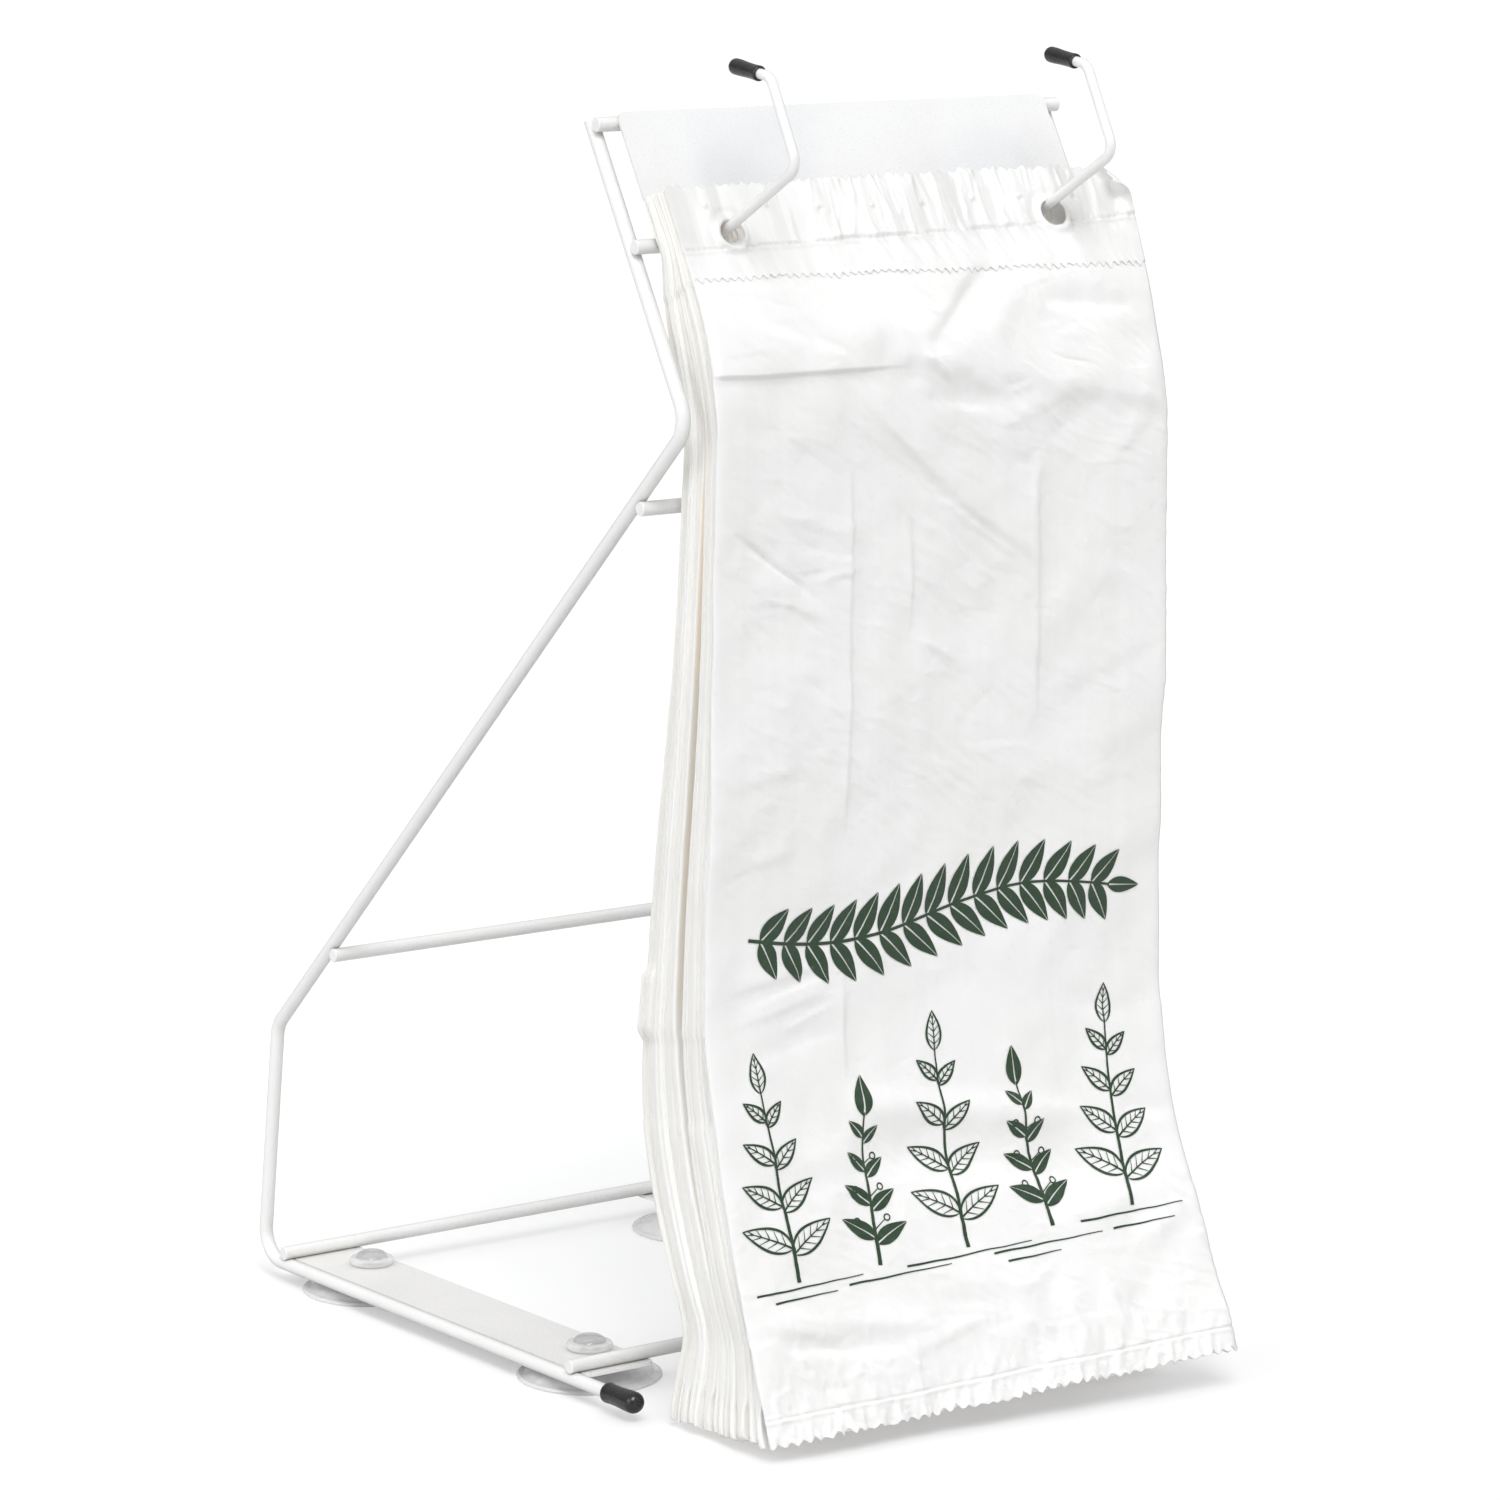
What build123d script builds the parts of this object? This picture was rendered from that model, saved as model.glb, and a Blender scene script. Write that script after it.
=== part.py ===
from build123d import *
import math
import os

# Counter-top plastic bag holder: a bent-wire easel with suction-cup base plates,
# a leaning header panel, two forward hooks and a saddle pack of flat film bags.
#
# Frame: +X to the right of someone facing the front, -Y is the front, +Z up.
# Origin: on the table, at the centre of the rectangle made by the four cups.
# All lengths in millimetres. Pairs are (y, z) points unless a comment says otherwise.

SIDES = (("left", -1), ("right", 1))

# ---------------------------------------------------------------- wire frame
WIRE_D = 6.35            # frame wire, 1/4 in
WIRE_R = WIRE_D / 2
FRAME_W = 252.0          # over the two side wires
SIDE_X = FRAME_W / 2 - WIRE_R
BASE_Z = 9.3             # base wire centre line above the table
WELD_SET = 0.30          # set-down of a resistance weld between two wires
SHEET_SET = 0.15         # set-down of a sheet onto a wire
BEND_R = 14.0            # centre-line bend radius of the side wires
BAR_CHAMFER = 0.35       # on the crossbar ends
BAR_OFFSET = WIRE_D - WELD_SET   # between the centre lines of two welded wires

# Corners of a side wire's centre line, before rounding
FOOT = (-165.8, BASE_Z)
REAR_CORNER = (144.3, BASE_Z)
LOW_KNEE = (128.7, 125.6)
HIGH_KNEE = (-205.3, 442.0)
TOP_END = (-135.4, 566.2)

TOP_BAR_S = -4.8         # along the upper leg, from its top end
HOOK_BAR_S = -62.1
KNEE_BAR_S = 48.2        # down the long diagonal from the high knee
REAR_BAR_S = 69.2        # up the long diagonal from the low knee
REAR_BASE_BAR_Y = 122.0
FRONT_BASE_BAR_Y = -117.7

# ---------------------------------------------------------------- hooks
HOOK_D = 4.5
HOOK_X = 85.6
HOOK_ROOT_S = HOOK_BAR_S + 0.2   # along the upper leg, from its top end
HOOK_ROOT_OUT = 1.5              # root in front of the hook bar's centre
HOOK_CORNER = (-231.7, 549.8)
HOOK_BEND = (-212.9, 586.8)
HOOK_TIP = (-187.4, 590.3)
HOOK_R = 7.0                     # centre-line bend radius

# ---------------------------------------------------------------- header panel
PANEL_W = 232.8
PANEL_T = 1.2
PANEL_UP = 3.5           # above the top bar's centre
PANEL_DOWN = 4.0         # below the hook bar's centre
PANEL_CORNER_R = 4.0
PANEL_BACK = BAR_OFFSET + WIRE_R - SHEET_SET   # forward of the leg's centre line
HOOK_BORE_R = HOOK_D / 2 + 0.35
PANEL_BORE_DEPTH = 30

# ---------------------------------------------------------------- vinyl caps
HOOK_CAP_L = 20.0
HOOK_CAP_R = 3.35
FOOT_CAP_L = 24.0
FOOT_CAP_R = 4.65
CAP_END_WALL = 1.6
CAP_ROUNDING = 0.82      # closed end's fillet, as a share of the cap radius
CAP_MOUTH_FILLET = 0.4

# ---------------------------------------------------------------- base plates
PLATE_T = 1.5
PLATE_IN_X = 83.5                        # inner edge
PLATE_OUT_X = SIDE_X - WIRE_R + 0.95     # outer edge, let into the side wire
PLATE_FRONT_Y = -124.3
PLATE_REAR_Y = 128.6
PLATE_CORNER_R = 4.0
PLATE_TOP = BASE_Z + BAR_OFFSET - WIRE_R + SHEET_SET
PLATE_LOW = PLATE_TOP - PLATE_T

# ---------------------------------------------------------------- suction cups
CUP_X = 96.0
CUP_Y = 90.7
CUP_R = 33.0
NECK_R = 4.90
NECK_CLEAR = 0.05        # running clearance round the neck and at both faces
HEAD_R = 10.6
HEAD_H = 7.0
BOSS_TOP = PLATE_LOW - NECK_CLEAR        # top of the bell's boss
HEAD_BASE = PLATE_TOP + NECK_CLEAR       # underside of the mushroom head

# Stretches of the half profile, (radius, z)
CUP_ROOF = [(0, 6.4), (7.0, 6.3)]
CUP_UNDERSIDE = [(7.0, 6.3), (18.0, 4.5), (26.5, 2.0), (CUP_R - 1.4, 0.0)]
CUP_SEAT = [(CUP_R - 1.4, 0.0), (CUP_R - 0.2, 0.0)]
CUP_LIP = [(CUP_R - 0.2, 0.0), (CUP_R, 0.7), (CUP_R - 0.7, 1.5)]
BELL_OUTSIDE = [(CUP_R - 0.7, 1.5), (27.0, 3.7), (18.5, 6.9), (12.0, 8.9), (9.6, BOSS_TOP)]
NECK = [(9.6, BOSS_TOP), (NECK_R, BOSS_TOP), (NECK_R, HEAD_BASE), (HEAD_R - 1.6, HEAD_BASE)]
HEAD_DOME = [(HEAD_R - 1.6, HEAD_BASE), (HEAD_R, HEAD_BASE + 2.3),
             (HEAD_R - 2.2, HEAD_BASE + 5.6), (0, HEAD_BASE + HEAD_H)]
HEAD_TANGENTS = ((1, 0.3), (-1, 0))

# ---------------------------------------------------------------- bag pack
BAG_X0 = -113.0          # left and right edges of the bags
BAG_X1 = 119.0
HEADER_TOP_S = -41.5     # along the upper leg, from its top end
HEADER_LOW_S = -72.0
HEADER_BACK = 11.3       # forward of the leg's centre line
HEADER_FRONT = 20.3
HOLE_R = 5.6
HOLE_S = -64.9
HOLE_DEPTH = 40
TEAR_GAP = 0.30          # perforation between header and bags
TEAR_S = HEADER_LOW_S - TEAR_GAP

LEAF_T = 0.35            # ten flattened bags
LEAF_INSETS = [          # (left, right) inset of each leaf's edges, rear leaf first
    (0.0, 0.3), (1.6, 1.8), (0.5, 0.8), (2.2, 2.0),
    (0.9, 0.4), (2.6, 2.4), (1.2, 1.0), (0.4, 1.5),
]
LEAVES = len(LEAF_INSETS)
LEAF_TOP_BACK = 0.5      # first leaf's top, forward of the header block's back
LEAF_TOP_SPARE = 1.6     # header thickness left out when spacing the leaf tops
LEAF_REACH = 0.93        # spread of the leaves from REAR_LINE towards LEFT_LINE
LEAF_CROWDING = 1.15     # above 1 packs the rear leaves closer together

FRONT_BAG_T = 0.40
FRONT_BAG_X1 = 124.0     # its right edge
FRONT_BAG_MID_X = 8.0
FRONT_BAG_MID_BLEND = 0.42   # middle section's share from LEFT_LINE to RIGHT_LINE
FRONT_BAG_TOP_IN = 0.25      # its top, behind the header block's front

# Hanging lines, from just below the tear line down to the foot of the pack:
# the rearmost leaf, then the front bag's left and right edges.
REAR_LINE = [
    (-180.6, 492.0), (-183.2, 468.0), (-186.0, 438.0), (-184.6, 408.0), (-180.5, 360.0),
    (-176.0, 322.0), (-162.3, 232.0), (-157.6, 196.0), (-153.6, 166.0), (-154.4, 132.0),
    (-161.5, 100.0), (-171.0, 76.0), (-180.5, 45.0), (-177.0, 18.0), (-176.5, 1.6),
]
LEFT_LINE = [
    (-195.3, 501.5), (-206.2, 478.0), (-211.8, 448.0), (-212.2, 408.0), (-211.0, 360.0),
    (-210.3, 322.0), (-205.4, 246.0), (-203.8, 205.0), (-204.6, 175.0), (-210.6, 140.0),
    (-219.0, 108.0), (-226.8, 82.0), (-236.6, 50.0), (-246.0, 20.0), (-252.5, 6.0),
]
RIGHT_LINE = [
    (-205.5, 502.0), (-218.0, 474.0), (-224.8, 440.0), (-225.8, 408.0), (-225.8, 360.0),
    (-225.6, 322.0), (-223.8, 246.0), (-223.8, 205.0), (-224.8, 175.0), (-231.5, 140.0),
    (-243.0, 108.0), (-255.0, 82.0), (-267.0, 52.0), (-277.0, 30.0), (-283.0, 17.0),
]


# ---------------------------------------------------------------- placing
def heading(start, end):
    """Unit (y, z) direction from start to end."""
    length = math.hypot(end[0] - start[0], end[1] - start[1])
    return ((end[0] - start[0]) / length, (end[1] - start[1]) / length)


def beside(start, direction, along, out):
    """Go along a direction, then out square to it.

    A positive out is a quarter turn from +Y towards +Z: forward when climbing.
    """
    return (start[0] + along * direction[0] - out * direction[1],
            start[1] + along * direction[1] + out * direction[0])


def at(x, yz):
    return Vector(x, yz[0], yz[1])


LEG_DIR = heading(HIGH_KNEE, TOP_END)        # up the leaning leg
LEG_FRONT = (0, -LEG_DIR[1], LEG_DIR[0])     # out of its front, (x, y, z)
DIAG_DIR = heading(LOW_KNEE, HIGH_KNEE)      # up the long diagonal


def leg(s, out):
    """Point s along the leaning leg from its top end, out in front of its centre line."""
    return beside(TOP_END, LEG_DIR, s, out)


def leg_slab(outline, x, low_s, high_s, back, thickness):
    """A flat outline laid parallel to the leaning leg and thickened forward."""
    plane = Plane(origin=at(x, leg((low_s + high_s) / 2, back)), x_dir=(1, 0, 0),
                  z_dir=LEG_FRONT)
    return extrude(plane * outline, amount=thickness)


def leg_drill(x, s, radius, depth):
    """A cutter running forward from the leaning leg's centre line."""
    return Solid.make_cylinder(radius, depth, Plane(origin=at(x, leg(s, 0)), z_dir=LEG_FRONT))


# ---------------------------------------------------------------- wires
def rounded_path(points, radius):
    """Straight runs joined by tangent arcs of one radius."""
    edges = []
    start = points[0]
    for before, corner, after in zip(points, points[1:], points[2:]):
        to_before = (before - corner).normalized()
        to_after = (after - corner).normalized()
        half_angle = math.acos(max(-1.0, min(1.0, to_before.dot(to_after)))) / 2
        setback = radius / math.tan(half_angle)
        arc_start = corner + to_before * setback
        arc_end = corner + to_after * setback
        inward = (to_before + to_after).normalized()
        arc_mid = corner + inward * (radius / math.sin(half_angle) - radius)
        edges.append(Line(start, arc_start))
        edges.append(ThreePointArc(arc_start, arc_mid, arc_end))
        start = arc_end
    edges.append(Line(start, points[-1]))
    return Wire(edges)


def bent_wire(x, corners, bend_radius, diameter):
    """A round wire bent in the plane at x."""
    points = [at(x, corner) for corner in corners]
    path = rounded_path(points, bend_radius)
    first_run = (points[1] - points[0]).normalized()
    section = Plane(origin=points[0], z_dir=first_run) * Circle(diameter / 2)
    return sweep(section, path=path)


def crossbar(centre):
    plane = Plane(origin=at(-FRAME_W / 2, centre), z_dir=(1, 0, 0))
    bar = Solid.make_cylinder(WIRE_R, FRAME_W, plane)
    return chamfer(bar.edges().filter_by(GeomType.CIRCLE), BAR_CHAMFER)


def side_wire(x, bars):
    corners = [FOOT, REAR_CORNER, LOW_KNEE, HIGH_KNEE, TOP_END]
    wire = bent_wire(x, corners, BEND_R, WIRE_D)
    for bar in bars.values():
        wire = wire - bar
    return wire


def hook(x, bars):
    root = leg(HOOK_ROOT_S, BAR_OFFSET + HOOK_ROOT_OUT)
    wire = bent_wire(x, [root, HOOK_CORNER, HOOK_BEND, HOOK_TIP], HOOK_R, HOOK_D)
    return wire - bars["hook_crossbar"]


def closed_cap(x, wire_end, direction, length, radius, wire):
    """A dipped sleeve over a wire end, its closed end rounded; direction is out of the wire."""
    axis = at(0, direction)
    mouth = at(x, beside(wire_end, direction, CAP_END_WALL - length, 0))

    def distance(edge):
        return (edge.center() - mouth).dot(axis)

    body = Solid.make_cylinder(radius, length, Plane(origin=mouth, z_dir=axis))
    closed_edge = max(body.edges().filter_by(GeomType.CIRCLE), key=distance)
    body = fillet(closed_edge, radius * CAP_ROUNDING)
    mouth_edge = min(body.edges().filter_by(GeomType.CIRCLE), key=distance)
    body = fillet(mouth_edge, CAP_MOUTH_FILLET)
    return body - wire


# ---------------------------------------------------------------- panel and plates
def header_panel(bars):
    low_s = HOOK_BAR_S - PANEL_DOWN
    high_s = TOP_BAR_S + PANEL_UP
    outline = RectangleRounded(PANEL_W, high_s - low_s, PANEL_CORNER_R)
    panel = leg_slab(outline, 0, low_s, high_s, PANEL_BACK, PANEL_T)
    for _, sign in SIDES:
        panel = panel - leg_drill(sign * HOOK_X, HOOK_ROOT_S, HOOK_BORE_R, PANEL_BORE_DEPTH)
    return panel - bars["top_crossbar"] - bars["hook_crossbar"]


def base_plate(sign, wire, bars):
    centre = (sign * (PLATE_OUT_X + PLATE_IN_X) / 2, (PLATE_FRONT_Y + PLATE_REAR_Y) / 2, PLATE_LOW)
    outline = RectangleRounded(PLATE_OUT_X - PLATE_IN_X, PLATE_REAR_Y - PLATE_FRONT_Y,
                               PLATE_CORNER_R)
    plate = extrude(Plane(origin=centre) * outline, amount=PLATE_T)
    for y in (-CUP_Y, CUP_Y):
        # the cutter overshoots both faces of the plate
        below = Plane(origin=(sign * CUP_X, y, PLATE_LOW - 4))
        plate = plate - Solid.make_cylinder(NECK_R + NECK_CLEAR, 10, below)
    return plate - wire - bars["rear_base_crossbar"] - bars["front_base_crossbar"]


def suction_cup(x, y):
    """Bell, neck and mushroom head in one revolved piece."""
    with BuildSketch(Plane.XZ) as profile:
        with BuildLine():
            Line(*CUP_ROOF)
            Spline(*CUP_UNDERSIDE)
            Line(*CUP_SEAT)
            Spline(*CUP_LIP)
            Spline(*BELL_OUTSIDE)
            for start, end in zip(NECK, NECK[1:]):
                Line(start, end)
            Spline(*HEAD_DOME, tangents=HEAD_TANGENTS)
            Line(HEAD_DOME[-1], CUP_ROOF[0])
        make_face()
    cup = revolve(profile.sketch, axis=Axis.Z, revolution_arc=360)
    return cup.moved(Location((x, y, 0)))


# ---------------------------------------------------------------- bags
def bag_header_block():
    """The holed tops of all the bags, hot-pinned into one pad."""
    outline = Rectangle(BAG_X1 - BAG_X0, HEADER_TOP_S - HEADER_LOW_S)
    block = leg_slab(outline, (BAG_X0 + BAG_X1) / 2, HEADER_LOW_S, HEADER_TOP_S,
                     HEADER_BACK, HEADER_FRONT - HEADER_BACK)
    for _, sign in SIDES:
        block = block - leg_drill(sign * HOOK_X, HOLE_S, HOLE_R, HOLE_DEPTH)
    return block


def blend(line_a, line_b, share):
    return [(a[0] + (b[0] - a[0]) * share, a[1] + (b[1] - a[1]) * share)
            for a, b in zip(line_a, line_b)]


def band(line, x, thickness):
    """A closed face at one x: the hanging line, thickened to its front."""
    front = []
    for i, point in enumerate(line):
        down = heading(line[max(i - 1, 0)], line[min(i + 1, len(line) - 1)])
        front.append(beside(point, down, 0, -thickness))
    back_edge = Spline(*[at(x, point) for point in line])
    front_edge = Spline(*[at(x, point) for point in reversed(front)])
    foot_edge = Line(at(x, line[-1]), at(x, front[-1]))
    top_edge = Line(at(x, front[0]), at(x, line[0]))
    return Face(Wire([back_edge, foot_edge, front_edge, top_edge]))


def bag_bundle(i):
    """Leaf i of the pack, counted from the rear."""
    # the tops are evenly spaced under the header block, whatever the spread below
    pitch = (HEADER_FRONT - HEADER_BACK - LEAF_TOP_SPARE) / LEAVES
    top = leg(TEAR_S, HEADER_BACK + LEAF_TOP_BACK + i * pitch)
    share = LEAF_REACH * (i / LEAVES) ** LEAF_CROWDING
    line = [top] + blend(REAR_LINE, LEFT_LINE, share)
    left_inset, right_inset = LEAF_INSETS[i]
    x0 = BAG_X0 + left_inset
    x1 = BAG_X1 - right_inset
    return extrude(band(line, x0, LEAF_T), amount=x1 - x0, dir=(1, 0, 0))


def front_bag():
    """The foremost bag, hanging further forward at its right edge."""
    top = leg(TEAR_S, HEADER_FRONT - FRONT_BAG_TOP_IN)
    middle_line = blend(LEFT_LINE, RIGHT_LINE, FRONT_BAG_MID_BLEND)
    stations = [(LEFT_LINE, BAG_X0), (middle_line, FRONT_BAG_MID_X), (RIGHT_LINE, FRONT_BAG_X1)]
    return loft([band([top] + line, x, FRONT_BAG_T) for line, x in stations])


# ---------------------------------------------------------------- assembly
bars = {
    "top_crossbar": crossbar(leg(TOP_BAR_S, BAR_OFFSET)),
    "hook_crossbar": crossbar(leg(HOOK_BAR_S, BAR_OFFSET)),
    "knee_crossbar": crossbar(beside(HIGH_KNEE, DIAG_DIR, -KNEE_BAR_S, BAR_OFFSET)),
    "rear_crossbar": crossbar(beside(LOW_KNEE, DIAG_DIR, REAR_BAR_S, BAR_OFFSET)),
    "rear_base_crossbar": crossbar((REAR_BASE_BAR_Y, BASE_Z + BAR_OFFSET)),
    "front_base_crossbar": crossbar((FRONT_BASE_BAR_Y, BASE_Z + BAR_OFFSET)),
}
parts = dict(bars)
parts["header_panel"] = header_panel(bars)

for side, sign in SIDES:
    frame_wire = side_wire(sign * SIDE_X, bars)
    hook_wire = hook(sign * HOOK_X, bars)
    parts[f"side_wire_{side}"] = frame_wire
    parts[f"hook_{side}"] = hook_wire
    parts[f"hook_cap_{side}"] = closed_cap(sign * HOOK_X, HOOK_TIP, heading(HOOK_BEND, HOOK_TIP),
                                           HOOK_CAP_L, HOOK_CAP_R, hook_wire)
    parts[f"foot_cap_{side}"] = closed_cap(sign * SIDE_X, FOOT, heading(REAR_CORNER, FOOT),
                                           FOOT_CAP_L, FOOT_CAP_R, frame_wire)
    parts[f"base_plate_{side}"] = base_plate(sign, frame_wire, bars)
    for end, end_sign in (("front", -1), ("rear", 1)):
        parts[f"suction_cup_{end}_{side}"] = suction_cup(sign * CUP_X, end_sign * CUP_Y)

parts["bag_header_block"] = bag_header_block()
for i in range(LEAVES):
    parts[f"bag_bundle_{i + 1}"] = bag_bundle(i)
parts["front_bag"] = front_bag()

os.makedirs("parts", exist_ok=True)
for name, shape in parts.items():
    export_step(shape, f"parts/{name}.step")
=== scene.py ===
# A coated wire stand on four clear suction cups, with a pack of thin film bags hung from its
# two hooks. The front bag is printed with leaves and is open at its mouth.
# x runs from left to right, the front faces -y, and z rises from the table at 0.
# Blender works in metres. The shape tables are in millimetres.
# Places on a film are given as x and "down", the length down the film from its cut top edge.

import math
from collections import namedtuple

import bpy
import bmesh
import numpy as np
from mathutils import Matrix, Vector


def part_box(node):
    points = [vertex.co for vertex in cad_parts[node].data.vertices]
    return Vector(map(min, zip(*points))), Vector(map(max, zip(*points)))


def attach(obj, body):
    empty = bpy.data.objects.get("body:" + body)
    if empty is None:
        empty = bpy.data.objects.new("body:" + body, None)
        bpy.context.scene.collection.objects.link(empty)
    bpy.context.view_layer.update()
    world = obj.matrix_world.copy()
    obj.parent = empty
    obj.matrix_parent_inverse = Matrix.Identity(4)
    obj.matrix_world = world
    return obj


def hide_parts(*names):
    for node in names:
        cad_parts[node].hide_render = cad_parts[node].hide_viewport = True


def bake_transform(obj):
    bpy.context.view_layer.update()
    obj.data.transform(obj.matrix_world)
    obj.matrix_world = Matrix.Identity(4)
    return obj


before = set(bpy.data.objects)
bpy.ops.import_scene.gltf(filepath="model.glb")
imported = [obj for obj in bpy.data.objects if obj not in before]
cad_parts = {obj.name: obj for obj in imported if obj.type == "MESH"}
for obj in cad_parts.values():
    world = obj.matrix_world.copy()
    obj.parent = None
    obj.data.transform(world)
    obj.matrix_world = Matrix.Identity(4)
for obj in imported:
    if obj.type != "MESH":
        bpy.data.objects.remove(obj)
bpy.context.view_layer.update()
MM_TO_M = 0.001


def by_mode(full):
    """Gives the full value."""
    return full


# ---------------------------------------------------------------------------
# shader helpers
# ---------------------------------------------------------------------------


def rgba(colour):
    """A grey level or an (r, g, b) as an opaque colour."""
    return (colour, colour, colour, 1.0) if isinstance(colour, (int, float)) else (*colour, 1.0)


def scaled(colour, factors):
    return tuple(part * factor for part, factor in zip(colour, factors))


class Shader:
    """Adds nodes to a tree. Each call gives the new node's output socket."""

    def __init__(self, tree, coordinates="Object"):
        self.tree = tree
        self.place = self.add("TexCoord", output=coordinates)

    def feed(self, socket, source):
        """Links a socket to the input, or sets the input to a value."""
        if isinstance(source, bpy.types.NodeSocket):
            self.tree.links.new(source, socket)
        else:
            socket.default_value = rgba(source) if socket.type == "RGBA" else source

    def add(self, kind, inputs=None, output=0, **settings):
        node = self.tree.nodes.new("ShaderNode" + kind)
        for name, value in settings.items():
            setattr(node, name, value)
        for name, source in (inputs or {}).items():
            self.feed(node.inputs[name], source)
        return node.outputs[output]

    def ramp(self, factor, *stops):
        """A colour ramp. Each stop is (position, colour)."""
        socket = self.add("ValToRGB", {"Fac": factor})
        elements = socket.node.color_ramp.elements
        while len(elements) > 1:
            elements.remove(elements[-1])
        elements[0].position = stops[0][0]
        elements[0].color = rgba(stops[0][1])
        for position, colour in stops[1:]:
            elements.new(position).color = rgba(colour)
        return socket

    def noise(self, scale, detail, rough, distortion=0.0, stretch=None):
        place = self.place
        if stretch is not None:
            place = self.add("Mapping", {"Scale": stretch, "Vector": place})
        inputs = {"Scale": scale, "Detail": detail, "Roughness": rough,
                  "Distortion": distortion, "Vector": place}
        return self.add("TexNoise", inputs, "Fac")

    def math(self, operation, first, second, clamp=False):
        return self.add("Math", {0: first, 1: second}, operation=operation, use_clamp=clamp)

    def times(self, first, second):
        return self.math("MULTIPLY", first, second)

    def mix(self, factor, first, second, blend="MIX"):
        """Mixes colours. Inputs 6 and 7 and output 2 are the node's colour sockets."""
        return self.add("Mix", {0: factor, 6: first, 7: second}, 2,
                        data_type="RGBA", blend_type=blend)

    def tinted(self, factor, colour, tint):
        return self.mix(factor, colour, tint, "MULTIPLY")

    def bump(self, height, distance, strength, over=None):
        """A bump `distance` metres high, on top of the normal `over`."""
        inputs = {"Distance": distance, "Strength": strength, "Height": height}
        if over is not None:
            inputs["Normal"] = over
        return self.add("Bump", inputs)

    def occlusion(self, distance):
        return self.add("AmbientOcclusion", {"Distance": distance}, "AO", samples=4)

    def part(self, vector, axis):
        return self.add("SeparateXYZ", {"Vector": vector}, axis)

    def principled(self, **inputs):
        """A principled shader. Underscores in the argument names stand for spaces."""
        return self.add("BsdfPrincipled", {k.replace("_", " "): v for k, v in inputs.items()})

    def mix_shaders(self, factor, first, second):
        return self.add("MixShader", {"Fac": factor, 1: first, 2: second})

    def surface(self, source):
        output = self.tree.nodes.new("ShaderNodeOutputMaterial")
        self.feed(output.inputs["Surface"], source)


def new_material(name):
    material = bpy.data.materials.new(name)
    material.use_nodes = True
    material.node_tree.nodes.clear()
    return material, Shader(material.node_tree)


# ---------------------------------------------------------------------------
# materials
# ---------------------------------------------------------------------------


def coat_material(name, tint, rough, peel, patches=False):
    """White powder coat with orange peel `peel` metres high, painted shade in the corners and where
    the surface turns away, and small chips at edges.
    """
    material, shader = new_material(name)
    cloud = shader.noise(scale=22.0, detail=5.0, rough=0.6)
    fine = shader.noise(scale=620.0, detail=3.0, rough=0.5)
    speck = shader.noise(scale=1500.0, detail=2.0, rough=0.6)
    colour = shader.ramp(cloud, (0.25, scaled(tint, (0.955, 0.955, 0.945))), (0.75, tint))
    # chips, in specks along the raised edges
    pointiness = shader.add("NewGeometry", output="Pointiness")
    edge = shader.ramp(pointiness, (0.46, 0.0), (0.50, 0.0), (0.56, 1.0))
    chips = shader.times(edge, shader.ramp(speck, (0.55, 0.0), (0.68, 1.0)))
    colour = shader.mix(shader.times(chips, 0.35), colour, (0.55, 0.54, 0.52))
    # painted shade in the corners
    corner_shade = shader.ramp(shader.occlusion(0.004), (0.25, (0.62, 0.60, 0.56)), (0.85, 1.0))
    colour = shader.tinted(0.55, colour, corner_shade)
    # painted shade where the surface turns away from view
    facing = shader.add("LayerWeight", {"Blend": 0.35}, "Facing")
    turned_away_shade = shader.ramp(facing, (0.36, 1.0), (0.95, (0.64, 0.615, 0.59)))
    colour = shader.tinted(0.8, colour, turned_away_shade)
    if patches:
        # broad, faintly blue patches
        soft = shader.noise(scale=15.0, detail=0.0, rough=0.4)
        tone = shader.ramp(soft, (0.34, (0.93, 0.942, 0.968)), (0.46, 1.0))
        colour = shader.tinted(0.9, colour, tone)
    smear = shader.noise(scale=90.0, detail=4.0, rough=0.6)
    normal = shader.bump(fine, distance=peel, strength=0.8)
    normal = shader.bump(speck, distance=peel * 0.4, strength=0.6, over=normal)
    shader.surface(shader.principled(
        Base_Color=colour, Roughness=shader.ramp(smear, (0.3, rough[0]), (0.7, rough[1])),
        Specular_IOR_Level=0.5, Coat_Weight=0.25, Coat_Roughness=0.16,
        Normal=normal, Coat_Normal=normal))
    return material


def black_vinyl_material(name):
    """Black dipped vinyl: glossy, with faint flow ripples and dust."""
    material, shader = new_material(name)
    dust = shader.noise(scale=340.0, detail=6.0, rough=0.7)
    flow = shader.noise(scale=130.0, detail=2.0, rough=0.4, stretch=(1.0, 0.35, 1.0))
    colour = shader.ramp(dust, (0.3, (0.006, 0.006, 0.0065)), (0.62, (0.011, 0.011, 0.012)),
                         (0.78, (0.045, 0.044, 0.042)))
    normal = shader.bump(flow, distance=0.00025, strength=0.7)
    normal = shader.bump(dust, distance=0.00002, strength=0.5, over=normal)
    shader.surface(shader.principled(
        Base_Color=colour, Roughness=shader.ramp(dust, (0.35, 0.17), (0.75, 0.42)),
        Specular_IOR_Level=0.55, Normal=normal))
    return material


# height, in millimetres, where the dome of a suction cup's head starts
CUP_DOME_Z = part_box("suction_cup_front_left")[1].z / MM_TO_M - 3.2


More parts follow.
